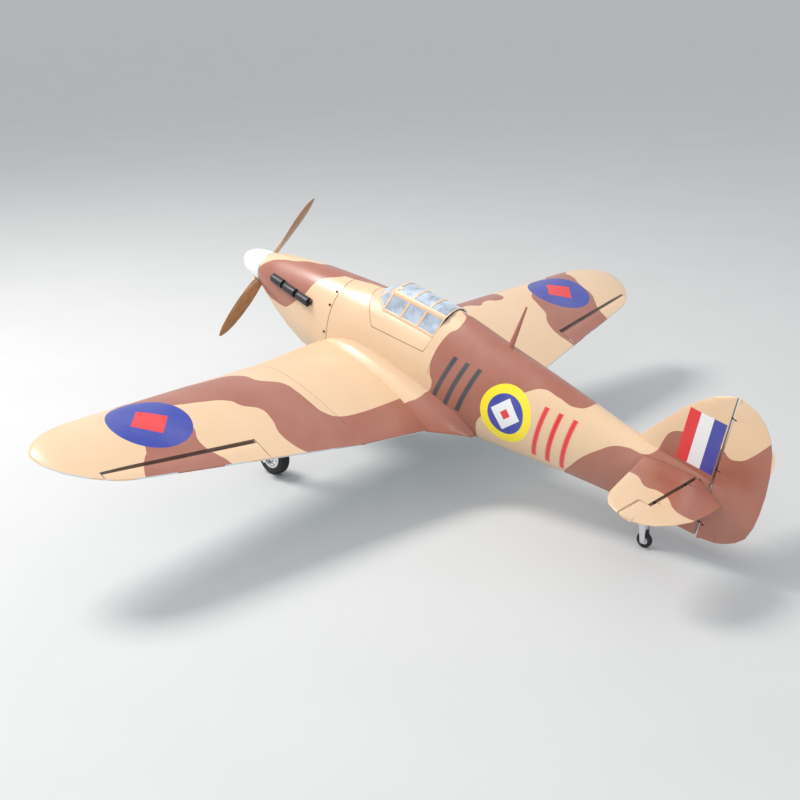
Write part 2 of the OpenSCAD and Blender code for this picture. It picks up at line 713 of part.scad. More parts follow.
// Root fillet: a concave corner between the body side and the wing, tapering out behind the wing
// [y, distance of the foot from the centre line, height above the wing]
FILLET = [[392, 100, 3], [430, 114, 9], [475, 126, 19], [520, 132, 30], [640, 138, 38], [760, 144, 46],
    [820, 147, 52], [845, 124, 50], [870, 98, 40], [896, 74, 22], [910, 66, 5]];
fillet_stations = [401, 412, 440, 480, 520, 580, 640, 700, 760, 800, 820, 832, 845, 858, 870, 884, 896, 908];
function fillet_floor(y) = wing_skin(140, min(y, wing_edge_back(140)), 1) - 1.5;
function fillet_ring(y) =
    let (
        foot = along(FILLET, y, 1),
        height = along(FILLET, y, 2),
        floor_z = fillet_floor(y),
        table = y < 740 ? DECK : TAIL_CONE,
        side = body_x(table, y, floor_z + height)
    )
    concat(
        [[side - 10, y, floor_z + height], [side, y, floor_z + height]],
        [for (a = [22.5 : 22.5 : 90]) [foot - (foot - side) * cos(a), y, floor_z + height * (1 - sin(a))]],
        [[foot, y, floor_z - 3], [side - 30, y, floor_z - 3]]);

module wing_fillets() color(TAN) as_mesh() difference() {
    on_both_sides() loft([for (y = fillet_stations) fillet_ring(y)]);
    body(-0.2);
    wing_core(0.2);
}

// ======== tail ========

elevator_axis = [0, elevator_y + control_gap / 2 + 5.6, tail_z];
elevator_lug_x = [50, 168];
rudder_gap = control_gap * 0.6;
rudder_axis_y = rudder_y + rudder_gap / 2 + 5.6;
RUDDER_LUG_Z = [-40, 90, 210];

function tail_half(x) = mix(tail_thickness, 6, x / tail_tip_x) / 2;

slab_steps = [0, 0.03, 0.12, 0.3, 0.6, 1];

function slab_ring(x, front, back, half, grow) = concat(
    [for (i = [5 : -1 : 0]) let (u = slab_steps[i])
        [x, mix(front - grow, back, u), tail_z + half * slab_shape(u) + grow]],
    [for (i = [0 : 5]) let (u = slab_steps[i])
        [x, mix(front - grow, back, u), tail_z - half * slab_shape(u) - grow]]);

function slab_shape(u) = sqrt(max(0.03, 1 - (1 - u) ^ 4));

tail_stations = [0, 27, 100, 164, 210, 235, 253, 262, tail_tip_x];

module tail_slab(grow) on_both_sides()
    loft([for (x = tail_stations)
        slab_ring(x == 0 ? -0.01 : x, along(TAIL_FRONT, x, 1), elevator_y - control_gap / 2,
            tail_half(x), grow)]);

module tailplane() color(TAN) as_mesh() difference() {
    tail_slab(0);
    on_both_sides() {
        block(horn_x - horn_gap / 2, 400, horn_y - horn_gap / 2, 1500, 0, 100);
        for (x = elevator_lug_x) lug([x - 1.1, x + 1.1, elevator_y - 10, 1500, tail_z - 2.6, tail_z + 2.6]);
    }
}

function elevator_nose(x) = tail_half(x) - 0.1;

function nose_and_tail_ring(x, axis, r, back) = concat(
    [[x, back, tail_z + 0.8]],
    [for (a = [90 : 30 : 270]) [x, axis + r * cos(a), tail_z + r * sin(a)]],
    [[x, back, tail_z - 0.8]]);

elevator_stations = [elevator_root_x, 36, 61, 105, 162, 206, 241, 257, tail_tip_x];

function elevator_back(x) =
    x < TAIL_BACK[0][0] ? mix(elevator_axis[1] + 12, TAIL_BACK[0][1],
        (x - elevator_root_x) / (TAIL_BACK[0][0] - elevator_root_x))
    : max(along(TAIL_BACK, x, 1), elevator_axis[1] + 2);

// Ahead of the hinge at its outer end the elevator carries a balance horn
module elevator() color(TAN) difference() {
    as_mesh() difference() {
        union() {
            loft([for (x = elevator_stations)
                nose_and_tail_ring(x, elevator_axis[1], elevator_nose(x), elevator_back(x))]);
            loft([for (x = [horn_x + horn_gap / 2, 225, 247, 260, tail_tip_x])
                slab_ring(x, max(horn_y + horn_gap / 2, along(TAIL_FRONT, x, 1)),
                    elevator_axis[1] + 1, tail_half(x) * 0.98, 0)]);
        }
        for (x = elevator_lug_x)
            block(x - 1.8, x + 1.8, 1400, elevator_axis[1] + 5, tail_z - 10, tail_z + 10);
    }
    bar_x([0, elevator_axis[1], tail_z], wire_radius + bearing_play, horn_x);
}

// Room for the elevator joiner and its wire
module joiner_slot() bar_x([-40, elevator_axis[1], tail_z], 4.5, 80);

module elevator_joiner() color("silver") difference() {
    union() {
        bar_x([-elevator_root_x + 0.1, elevator_axis[1], tail_z], 3.4, 2 * elevator_root_x - 0.2);
        block(-1, 1, elevator_axis[1] - 2.5, elevator_axis[1] + 2.5, tail_z - 20, tail_z);
    }
    bar_x([-50, elevator_axis[1], tail_z], wire_radius + bearing_play, 100);
}

function fin_half(z) = mix(6, 3.4, max(0, (z - 70) / (rudder_top - 70)));

function fin_ring(z) =
    let (front = along(FIN_FRONT, z, 1), back = rudder_y - rudder_gap / 2)
    concat(
        [for (i = [5 : -1 : 0]) let (u = slab_steps[i]) [-fin_half(z) * slab_shape(u), mix(front, back, u), z]],
        [for (i = [0 : 5]) let (u = slab_steps[i]) [fin_half(z) * slab_shape(u), mix(front, back, u), z]]);

module fin() color(TAN) as_mesh() difference() {
    loft([for (z = [50, 74, 107, 145, 180, 209, 234, 248, rudder_top]) fin_ring(z)]);
    body(-0.2);
    tail_slab(0.3);
    joiner_slot();
    rudder_lugs(0.2);
}

function rudder_ring(z) =
    let (r = fin_half(z) - 0.1, back = max(along(RUDDER_BACK, z, 1), rudder_axis_y + 2))
    concat(
        [[-0.8, back, z]],
        [for (a = [180 : 30 : 360]) [r * cos(a), rudder_axis_y + r * sin(a), z]],
        [[0.8, back, z]]);

module rudder() color(BROWN) difference() {
    as_mesh() difference() {
        loft([for (z = [rudder_bottom, -68, -57, -43, -24, 7, 42, 87, 128, 173, 205, 228, 245, rudder_top])
            rudder_ring(z)]);
        for (z = RUDDER_LUG_Z)
            block(-20, 20, 1400, rudder_axis_y + 5, z - 1.8, z + 1.8);
    }
    bar_between([0, rudder_axis_y, RUDDER_LUG_Z[0] - 8], [0, rudder_axis_y, RUDDER_LUG_Z[2] + 8],
        wire_radius + bearing_play);
}

module rudder_lugs(grow) for (z = RUDDER_LUG_Z)
    lug([-1.5 - grow, 1.5 + grow, rudder_y - 14 - grow, rudder_axis_y + 2, z - 1 - grow, z + 1 + grow]);

// [y, z, half chord, half thickness] at the foot and at the tip
MAST = [[918, 112, 8.5, 3.5], [940, 232, 2.6, 1.6]];
module radio_mast() color(BROWN) as_mesh() difference() {
    loft([for (m = [1, 0])
        [for (a = [0 : 30 : 330]) [MAST[m][3] * sin(a), MAST[m][0] + MAST[m][2] * cos(a), MAST[m][1]]]]);
    body(-0.2);
}

// ======== canopy hatch ========

// The part of the body's skin that lifts off with the canopy
module hatch_base() color(TAN) as_mesh() difference() {
    intersection() {
        body_skin();
        hatch_side(-seam_gap);
    }
    block(-44, 44, canopy_arch + 4, canopy_back - 14, 50, 160);
    tub_front_clearance();
}

module tub_front_clearance() block(-43, 43, 560, 574, 60, 88);

// One canopy section from sill to sill; y runs back as it rises
function arch_ring(sill_y, inset) =
    let (half = [for (p = CANOPY_ARCH) [p[0] == 0 ? 0 : p[0] - inset, p[1] - (p[1] > 100 ? inset : 0)]])
    concat(
        [for (i = [len(half) - 1 : -1 : 0]) lean(half[i], sill_y)],
        [for (i = [0 : len(half) - 2]) lean([-half[i][0], half[i][1]], sill_y)]);
function lean(p, sill_y) =
    [p[0], sill_y + canopy_lean * (p[1] - sill_z) / (CANOPY_ARCH[4][1] - sill_z), p[1]];

// The foot of the windscreen: a shallow bow that lies on the deck
function windscreen_ring(inset) =
    [for (p = arch_ring(0, 0)) [p[0] * 0.62, canopy_front + inset + abs(p[0]) * 0.28, mix(p[2], 97, 0.85)]];

// The canopy's outer surface moved in by inset, with its back end moved aft by tail
module canopy_body(inset, tail = 0) loft([
    [for (p = windscreen_ring(inset)) [p[0], p[1], p[2] - inset / 2]],
    arch_ring(canopy_arch, inset),
    arch_ring((canopy_arch + canopy_back) / 2, inset),
    arch_ring(canopy_back + tail, inset)]);

module behind_hatch(gap) side_cut([
    [HATCH_SIDE[2][0] - gap, HATCH_SIDE[2][1]],
    [HATCH_SIDE[3][0] - gap, HATCH_SIDE[3][1]],
    [HATCH_SIDE[3][0] + 6 - gap, 180], [900, 180], [900, HATCH_SIDE[2][1]]]);

module canopy_glass() color("#cfe2f2", 0.55) as_mesh() difference() {
    canopy_body(0);
    canopy_body(glass_thickness, 2);
    deck_body(-0.15);
    behind_hatch(0.6);
}

module canopy_frame() color(TAN) as_mesh() difference() {
    intersection() {
        canopy_body(-0.9);
        union() {
            for (i = [0 : 3]) canopy_hoop(mix(canopy_arch, canopy_back - 2, i / 3), 3.4);
            on_both_sides() {
                block(33.5, 40.5, canopy_arch + 8, 800, 120, 140);
                block(50, 70, canopy_arch - 4, 800, 60, 83);
                windscreen_post();
            }
            deck_body(-3.5);
        }
    }
    canopy_body(-0.08, 2);
    deck_body(-0.15);
    behind_hatch(0.6);
}

module windscreen_post() translate([0, 0, 60]) linear_extrude(120)
    polygon([[34, 516], [40, 516], [27, 596], [21, 596]]);

module canopy_hoop(sill_y, half) side_cut([
    [sill_y - half - 2, sill_z - 8], [sill_y + half - 2, sill_z - 8],
    [sill_y + half + canopy_lean + 3, 163], [sill_y - half + canopy_lean + 3, 163]]);

// Floor and walls of the cockpit, with two round instruments at its front
module cockpit_tub() color("#3c4238") {
    difference() {
        block(-42, 42, canopy_arch + 10, canopy_back - 20, 31, 80);
        block(-40, 40, canopy_arch + 24, canopy_back - 22, 33, 90);
    }
    for (x = [-16, 16]) translate([x, canopy_arch + 24, 62]) rotate([-90, 0, 0]) cylinder(r = 9, h = 1.5);
}

module pilot_seat() color("#5a4a3a") {
    block(-16, 16, 655, 690, 33.1, 45);
    block(-16, 16, 690.1, 696, 33.1, 86);
}

// ======== inside ========

module battery_pack() color("#2f4f9f") block(-32, 32, 462, 572, -21.9, 20);
module receiver() color("#3a3a3a") block(-16, 16, 625, 668, -21.9, -9);
module speed_controller() color("#29408f") block(-22, 22, 250, 330, -box_half - 18, -box_half - 0.1);

module equipment_trays() color(PLYWOOD) {
    block(-40, 40, firewall_y + 7, 700, -26, -22);
    block(-40, 40, 785, 880, -26, -22);
}

module servos() color("#26262b") {
    for (x = [-22, 22]) block(x - 10, x + 10, 800, 840, -21.9, 16);
    on_both_sides() aileron_servo();
}

// ======== undercarriage ========

module along_y_at(x, y, z) translate([x, y, z]) rotate([-90, 0, 0]) children();

leg_radius = 8.5;
oleo_radius = 6;
leg_bottom = -222;
trunnion_radius = 5;

// Two side plates and a bridge carry each leg's trunnion
module retract_units() color("#8c8c90") on_both_sides() difference() {
    union() {
        for (y = [main_axle_y - 20, main_axle_y + 15])
            block(leg_x - 16, leg_x + 13, y, y + 5, leg_pivot_z - 8, leg_pivot_z + 14);
        block(leg_x - 16, leg_x + 13, main_axle_y - 15.1, main_axle_y + 15.1,
            leg_pivot_z + 12, leg_pivot_z + 14);
    }
    along_y_at(leg_x, main_axle_y - 30, leg_pivot_z)
        cylinder(r = trunnion_radius + bearing_play, h = 60);
}

// The leg's trunnion, its tube, bored for the oleo, and two lugs for the door
module gear_leg() color("#b9bcc0") difference() {
    union() {
        along_y_at(leg_x, main_axle_y - 20, leg_pivot_z) cylinder(r = trunnion_radius, h = 40);
        along_y_at(leg_x, main_axle_y - 14, leg_pivot_z) cylinder(r = 10, h = 28);
        translate([leg_x, main_axle_y, leg_bottom]) cylinder(r = leg_radius, h = leg_pivot_z - leg_bottom);
        for (z = [-135, -205]) block(leg_x, leg_x + 11.9, main_axle_y - 5, main_axle_y + 5, z - 4, z + 4);
    }
    translate([leg_x, main_axle_y, leg_bottom - 1])
        cylinder(r = oleo_radius + bearing_play, h = leg_pivot_z - 16 - leg_bottom);
}

module gear_door() color(PALE) difference() {
    block(leg_x + 12, leg_x + 13.6, main_axle_y - 30, main_axle_y + 30, -312, leg_pivot_z - 13);
    for (side = [-1, 1]) translate([leg_x, main_axle_y + side * 30, -312])
        rotate([0, 90, 0]) cylinder(r = 18, h = 30, $fn = 4);
}

oleo_travel = 15;
// The sliding strut with the wheel's axle
module oleo() color("#d8d8dc") {
    translate([leg_x, main_axle_y, -main_axle_drop])
        cylinder(r = oleo_radius, h = main_axle_drop + leg_pivot_z - 18 - oleo_travel);
    bar_x([leg_x - 8, main_axle_y, -main_axle_drop], 9, 16);
    bar_x([leg_x - 42, main_axle_y, -main_axle_drop], 4, 36);
}

hub_half = 12;
// Web, two flanges and a rim, bored for the axle
module wheel_hub() color("#c9ccd0") difference() {
    union() {
        bar_x([half_track - hub_half, main_axle_y, -main_axle_drop], 10, 2 * hub_half);
        bar_x([half_track - 4, main_axle_y, -main_axle_drop], 30, 8);
        for (x = [half_track - hub_half, half_track + hub_half - 4])
            translate([x, main_axle_y, -main_axle_drop]) rotate([0, 90, 0]) tube(30, 24, 4);
        translate([half_track - hub_half, main_axle_y, -main_axle_drop]) rotate([0, 90, 0])
            tube(30, 27, 2 * hub_half);
    }
    bar_x([half_track - 40, main_axle_y, -main_axle_drop], 4 + bearing_play, 80);
}

// Round-shouldered tyre about the X axis
module tyre(centre, r_out, r_in, half) color("#18181a") translate(centre) rotate([0, 90, 0])
    rotate_extrude($fn = 72) polygon(concat(
        [[r_in, -half * 0.8], [r_in + 2, -half * 0.95]],
        [for (a = [-90 : 15 : 90])
            [r_out - half * 0.85 * (1 - cos(a)) , half * sin(a)]],
        [[r_in + 2, half * 0.95], [r_in, half * 0.8]]));

module main_tyre() tyre([half_track, main_axle_y, -main_axle_drop], main_tyre_radius, 30.1, 14);

module tail_wheel_bracket() color("#a8abb0") difference() {
    union() {
        block(-9, 9, steer_y - 20, steer_y + 16, -84, -80.4);
        translate([0, steer_y, -100]) cylinder(r = 7, h = 18);
    }
    translate([0, steer_y, -110]) cylinder(r = 2.5 + bearing_play, h = 40);
}

fork_half = 8;
// Steering pin, crown, two tapered blades and the axle, whose ends stick out
module tail_wheel_fork() color("#c8cacf") {
    translate([0, steer_y, -104]) cylinder(r = 2.5, h = 22);
    translate([0, steer_y, -104]) cylinder(r = fork_half, h = 3.7);
    for (x = [-fork_half - 2, fork_half]) hull() {
        bar_x([x, tail_axle_y, tail_axle_z], 6, 2);
        block(x, x + 2, steer_y - 8, steer_y + 9, -108, -104);
    }
    block(-fork_half - 2, fork_half + 2, steer_y - 8, steer_y + 9, -104.1, -101.5);
    bar_x([-16, tail_axle_y, tail_axle_z], 2, 32);
}

module tail_wheel() color("#d0d0d4") difference() {
    union() {
        bar_x([-6, tail_axle_y, tail_axle_z], 5, 12);
        bar_x([-3.5, tail_axle_y, tail_axle_z], 10, 7);
    }
    bar_x([-20, tail_axle_y, tail_axle_z], 2 + bearing_play, 40);
}

module tail_tyre() tyre([0, tail_axle_y, tail_axle_z], tail_tyre_radius, 10.05, 5.5);

// ======== nodes ========

module left() on_the_ground() children();
module right() on_the_ground() mirror([1, 0, 0]) children();

on_the_ground() fuselage_shell();
on_the_ground() fuselage_formers();
on_the_ground() engine_cowl();
on_the_ground() cowl_screws();
on_the_ground() exhaust_stubs();
on_the_ground() motor_stator();
on_the_ground() speed_controller();
on_the_ground() equipment_trays();
on_the_ground() battery_pack();
on_the_ground() receiver();
on_the_ground() servos();
on_the_ground() belly_pan();
on_the_ground() belly_radiator();
on_the_ground() wing_centre_section();
on_the_ground() wing_joiner_tube();
on_the_ground() wing_fillets();
left() outer_wing();  // outer_wing_left
right() outer_wing();  // outer_wing_right
on_the_ground() tailplane();
on_the_ground() fin();
on_the_ground() radio_mast();
on_the_ground() hinge_wires();
on_the_ground() retract_units();
on_the_ground() tail_wheel_bracket();
on_the_ground() spinner_cone();
on_the_ground() spinner_backplate();
on_the_ground() propeller();
on_the_ground() motor_bell();
on_the_ground() hatch_base();
on_the_ground() canopy_glass();
on_the_ground() canopy_frame();
on_the_ground() cockpit_tub();
on_the_ground() pilot_seat();
left() aileron();  // aileron_left
right() aileron();  // aileron_right
left() elevator();  // elevator_left
right() elevator();  // elevator_right
on_the_ground() elevator_joiner();
on_the_ground() rudder();
left() flap(FLAP_INNER_X);  // flap_inner_left
right() flap(FLAP_INNER_X);  // flap_inner_right
left() flap(FLAP_OUTER_X);  // flap_outer_left
right() flap(FLAP_OUTER_X);  // flap_outer_right
left() aileron_arm();  // aileron_arm_left
right() aileron_arm();  // aileron_arm_right
left() aileron_rod();  // aileron_rod_left
right() aileron_rod();  // aileron_rod_right
left() gear_leg();  // gear_leg_left
right() gear_leg();  // gear_leg_right
left() gear_door();  // gear_door_left
right() gear_door();  // gear_door_right
left() oleo();  // oleo_left
right() oleo();  // oleo_right
left() wheel_hub();  // wheel_hub_left
right() wheel_hub();  // wheel_hub_right
left() main_tyre();  // tyre_left
right() main_tyre();  // tyre_right
on_the_ground() tail_wheel_fork();
on_the_ground() tail_wheel();
on_the_ground() tail_tyre();
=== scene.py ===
"""Looks of a radio-controlled warbird: satin camouflage film, clear canopy, wooden propeller."""
import json
import math

import bmesh
import bpy
from mathutils import Matrix, Vector


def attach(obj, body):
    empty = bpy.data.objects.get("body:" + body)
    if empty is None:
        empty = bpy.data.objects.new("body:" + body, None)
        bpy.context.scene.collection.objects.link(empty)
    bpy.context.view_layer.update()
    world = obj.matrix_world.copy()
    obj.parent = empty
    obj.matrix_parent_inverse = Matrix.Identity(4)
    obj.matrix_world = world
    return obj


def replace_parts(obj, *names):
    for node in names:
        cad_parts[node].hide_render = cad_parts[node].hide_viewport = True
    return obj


MM = 0.001

# ---------------------------------------------------------------- the frame

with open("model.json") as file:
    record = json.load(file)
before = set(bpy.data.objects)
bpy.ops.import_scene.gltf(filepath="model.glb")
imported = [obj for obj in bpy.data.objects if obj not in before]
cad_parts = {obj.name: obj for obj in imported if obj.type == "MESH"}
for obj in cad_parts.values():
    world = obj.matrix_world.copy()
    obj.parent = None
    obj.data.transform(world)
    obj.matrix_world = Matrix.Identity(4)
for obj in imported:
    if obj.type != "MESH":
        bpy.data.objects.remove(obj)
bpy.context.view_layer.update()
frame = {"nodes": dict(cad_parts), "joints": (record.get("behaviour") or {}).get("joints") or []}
nodes = frame["nodes"]
joints = {joint["name"]: joint for joint in frame["joints"]}

# The aircraft's own axes: aft along the thrust line, up at right angles to it, origin at the spinner's tip
aft = Vector(joints["propeller_spin"]["axis"]).normalized()
up = Vector(joints["hatch_lift"]["axis"]).normalized()
hub_centre = Vector(joints["propeller_spin"]["pos_m"])
tip_reach = min((v.co - hub_centre).dot(aft) for v in nodes["spinner_cone"].data.vertices)
origin = hub_centre + aft * tip_reach

# How far the thrust line is tipped back when the aircraft stands on its three wheels
ground_angle = math.atan2(-aft.z, aft.y)


def place(x, y, z):
    """A point given across, aft and up in millimetres, as a point in the row frame."""
    return Vector((x * MM, 0, 0)) + origin + aft * (y * MM) + up * (z * MM)


def measure(point):
    """A point of the row frame, as across, aft and up in millimetres."""
    d = Vector(point) - origin
    return d.x / MM, d.dot(aft) / MM, d.dot(up) / MM


def extent(name):
    """Lowest and highest across, aft and up of a CAD node, in millimetres."""
    spots = [measure(v.co) for v in nodes[name].data.vertices]
    return [min(s[k] for s in spots) for k in range(3)], [max(s[k] for s in spots) for k in range(3)]


def middle(low, high):
    return [(a + b) / 2 for a, b in zip(low, high)]


# ---------------------------------------------------------------- colours, as linear red, green and blue

TAN = (0.745, 0.520, 0.325)
BROWN = (0.355, 0.124, 0.082)
PALE = (0.62, 0.70, 0.76)
DISC_BLUE = (0.026, 0.046, 0.340)
DISC_RED = (0.72, 0.024, 0.030)
DISC_WHITE = (0.80, 0.81, 0.82)
DISC_YELLOW = (0.95, 0.76, 0.01)
BAR_GREY = (0.035, 0.045, 0.06)
# Dark colour of the seams, also painted as shade on the faces inside the control surfaces' slots
SEAM_AND_SHADE = (0.10, 0.06, 0.045)


# ---------------------------------------------------------------- node graphs

class Graph:
    """A material's node graph, with short names for the nodes used here."""

    def __init__(self, name):
        self.material = bpy.data.materials.new(name)
        self.material.use_nodes = True
        self.tree = self.material.node_tree
        self.tree.nodes.clear()
        self.surface = self.add("ShaderNodeBsdfPrincipled")
        self.output = self.add("ShaderNodeOutputMaterial")
        self.tree.links.new(self.surface.outputs[0], self.output.inputs[0])

    def add(self, kind, **settings):
        node = self.tree.nodes.new(kind)
        for key, value in settings.items():
            setattr(node, key, value)
        return node

    def feed(self, socket, value):
        """Links a socket to another one, or sets it to a number or a colour."""
        if isinstance(value, bpy.types.NodeSocket):
            self.tree.links.new(value, socket)
        elif isinstance(value, tuple) and len(value) == 3 and socket.type == "RGBA":
            socket.default_value = (*value, 1)
        else:
            socket.default_value = value

    def set(self, **values):
        """Sets the surface's inputs, such as base_color or roughness."""
        for key, value in values.items():
            self.feed(self.surface.inputs[key.replace("_", " ").title().replace("Ior", "IOR")], value)

    def math(self, operation, *values, clamp=False):
        node = self.add("ShaderNodeMath", operation=operation, use_clamp=clamp)
        for socket, value in zip(node.inputs, values):
            self.feed(socket, value)
        return node.outputs[0]

    def mix(self, share, a, b):
        """Colour a where share is 0, colour b where it's 1."""
        node = self.add("ShaderNodeMix", data_type="RGBA")
        for index, value in ((0, share), (6, a), (7, b)):
            self.feed(node.inputs[index], value)
        return node.outputs[2]

    def points(self):
        """The surface point in the row frame, in metres."""
        return self.add("ShaderNodeTexCoord").outputs["Object"]

    def position(self):
        """Across, aft and up in millimetres, as three sockets."""
        turn = self.add("ShaderNodeMapping", vector_type="POINT")
        self.feed(turn.inputs["Vector"], self.points())
        turn.inputs["Scale"].default_value = (1 / MM, 1 / MM, 1 / MM)
        turn.inputs["Rotation"].default_value = (ground_angle, 0, 0)
        turn.inputs["Location"].default_value = measure((0, 0, 0))
        split = self.add("ShaderNodeSeparateXYZ")
        self.feed(split.inputs[0], turn.outputs[0])
        return split.outputs[0], split.outputs[1], split.outputs[2]

    def noise(self, scale, detail=3.0, roughness=0.5, vector=None, stretch=None):
        """Cloudy noise with scale blobs to the metre, finer along the axes that stretch is larger on."""
        where = vector or self.points()
        if stretch:
            turn = self.add("ShaderNodeMapping")
            self.feed(turn.inputs["Vector"], where)
            turn.inputs["Scale"].default_value = stretch
            where = turn.outputs[0]
        node = self.add("ShaderNodeTexNoise")
        self.feed(node.inputs["Vector"], where)
        self.feed(node.inputs["Scale"], scale)
        self.feed(node.inputs["Detail"], detail)
        self.feed(node.inputs["Roughness"], roughness)
        return node.outputs[0]

    def ranged(self, value, low, high, out_low=0.0, out_high=1.0):
        """Maps low..high to out_low..out_high and stays within them."""
        node = self.add("ShaderNodeMapRange")
        for socket, number in zip(node.inputs, (value, low, high, out_low, out_high)):
            self.feed(socket, number)
        return node.outputs[0]

    def over(self, a, b, soft=0.8):
        """1 where a is more than b, 0 where it is less, with an edge soft millimetres wide."""
        gap = self.math("DIVIDE", self.math("SUBTRACT", a, b), soft)
        return self.math("ADD", gap, 0.5, clamp=True)

    def under(self, a, b, soft=0.8):
        """1 where a is less than b."""
        return self.over(b, a, soft)

    def between(self, a, low, high, soft=0.8):
        return self.both(self.over(a, low, soft), self.under(a, high, soft))

    def both(self, *masks):
        total = masks[0]
        for mask in masks[1:]:
            total = self.math("MINIMUM", total, mask)
        return total

    def either(self, *masks):
        total = masks[0]
        for mask in masks[1:]:
            total = self.math("MAXIMUM", total, mask)
        return total

    def outside(self, mask):
        return self.math("SUBTRACT", 1.0, mask)

    def line(self, a, b, width):
        """1 on the line where a equals b, width millimetres wide."""
        gap = self.math("ABSOLUTE", self.math("SUBTRACT", a, b))
        return self.under(gap, width / 2, width / 3)

    def along(self, value, points):
        """A smooth curve through (value, height) points, both in millimetres."""
        starts = [p[0] for p in points]
        heights = [p[1] for p in points]
        first, last, low, high = starts[0], starts[-1], min(heights), max(heights)
        node = self.add("ShaderNodeFloatCurve")
        curve = node.mapping.curves[0]
        while len(curve.points) < len(points):
            curve.points.new(0.5, 0.5)
        for spot, (start, height) in zip(curve.points, points):
            spot.location = ((start - first) / (last - first), (height - low) / (high - low))
        node.mapping.update()
        self.feed(node.inputs["Value"], self.ranged(value, first, last))
        return self.ranged(node.outputs[0], 0, 1, low, high)

    def bump(self, height, distance_mm, strength=1.0):
        """Adds relief on top of the relief that's there already."""
        node = self.add("ShaderNodeBump")
        self.feed(node.inputs["Height"], height)
        node.inputs["Distance"].default_value = distance_mm * MM
        node.inputs["Strength"].default_value = strength
        if self.surface.inputs["Normal"].is_linked:
            self.feed(node.inputs["Normal"], self.surface.inputs["Normal"].links[0].from_socket)
        self.feed(self.surface.inputs["Normal"], node.outputs[0])


# ---------------------------------------------------------------- camouflage

# Edges of the brown patches on the wings, as (aft, distance from the centre line) but for RIGHT_BLOB_BACK,
# which is (distance, aft)
LEFT_BAND_INNER = ((405, 700), (441, 506), (452, 430), (477, 403), (517, 389), (547, 350), (591, 340),
                   (644, 339), (682, 333), (707, 306), (720, 240), (728, 60), (740, -20))
LEFT_BAND_OUTER = ((405, 760), (470, 735), (525, 623), (535, 579), (562, 512), (585, 501), (617, 467),
                   (656, 469), (698, 483), (730, 480), (759, 468), (800, 430))
LEFT_PATCH_INNER = ((540, 690), (600, 652), (659, 670), (698, 659), (727, 647), (790, 640))
LEFT_PATCH_OUTER = ((540, 760), (640, 795), (650, 806), (682, 830), (710, 843), (760, 860))
RIGHT_BLOB_BACK = ((90, 560), (240, 540), (405, 467), (444, 491), (467, 480), (489, 480), (506, 495),
                   (528, 499), (549, 482), (556, 440), (570, 380))
RIGHT_BAND_OUTER = ((440, 890), (471, 872), (483, 852), (512, 844), (566, 817), (611, 808), (640, 788),
                    (671, 766), (712, 754), (790, 740))
RIGHT_BAND_INNER = ((440, 790), (469, 772), (536, 617), (576, 597), (618, 580), (644, 554), (668, 540),
                    (697, 533), (747, 541), (810, 545))

# Behind this station the left wing's root is brown out to this distance
LEFT_ROOT_FRONT = 727
LEFT_ROOT_REACH = 300
LEFT_PATCH_FRONT = 545
RIGHT_BLOB_ENDS = (60, 556)


def wing_brown(g, x, y):
    """1 where the wings are brown."""
    x_right = g.math("MULTIPLY", x, -1.0)
    band = g.both(g.over(x, g.along(y, LEFT_BAND_INNER)), g.under(x, g.along(y, LEFT_BAND_OUTER)))
    root = g.both(g.over(y, LEFT_ROOT_FRONT), g.between(x, 0, LEFT_ROOT_REACH))
    patch = g.both(g.over(x, g.along(y, LEFT_PATCH_INNER)), g.under(x, g.along(y, LEFT_PATCH_OUTER)),
                   g.over(y, LEFT_PATCH_FRONT))
    blob = g.both(g.under(y, g.along(x_right, RIGHT_BLOB_BACK)), g.between(x_right, *RIGHT_BLOB_ENDS))
    right = g.both(g.under(x_right, g.along(y, RIGHT_BAND_OUTER)),
                   g.over(x_right, g.along(y, RIGHT_BAND_INNER)))
    return g.either(band, root, patch, blob, right)


# Edges of the brown patches on the body, as (aft, up) but for MID_FRONT, which is (up, aft)
MID_FRONT = ((-90, 735), (-72, 743), (-62, 755), (-44, 767), (-16, 781), (8, 769), (41, 762), (68, 764),
             (90, 769), (109, 776), (129, 791), (140, 790), (147, 768), (156, 750))
MID_BACK = ((900, -190), (917, -80), (921, -49), (937, -22), (960, 8), (1023, 70), (1052, 87), (1096, 85),
            (1142, 81), (1167, 92), (1180, 140))
TAIL_TOP = ((1130, -190), (1151, -80), (1175, -43), (1201, -6), (1233, 26), (1255, 44), (1287, 54),
            (1330, 57), (1343, 68), (1348, 92), (1359, 119), (1381, 133), (1430, 140), (1482, 137),
            (1500, 128), (1513, 130), (1528, 138), (1543, 155), (1557, 175), (1600, 250))
NOSE_LOW = ((95, -46), (200, -42), (250, -36), (262, -28), (291, 0), (319, 32), (331, 60), (347, 77),
            (385, 92), (440, 118))
RIGHT_SIDE_LOW = ((285, 92), (330, 40), (390, -40), (450, -60), (510, -20), (560, 60), (620, 130))
RIGHT_SIDE_ENDS = (286, 618)

# The same patch's edge on top, and the strip's edge on the nose's top, as (aft, across)
RIGHT_SIDE_TOP = ((285, 20), (430, 8), (480, -2), (560, -22), (620, -60))
NOSE_STRIP = ((95, 46), (112, 42), (146, 30), (177, 24), (214, 19), (251, 4), (285, -4), (300, -60))
NOSE_STRIP_LOW = 10


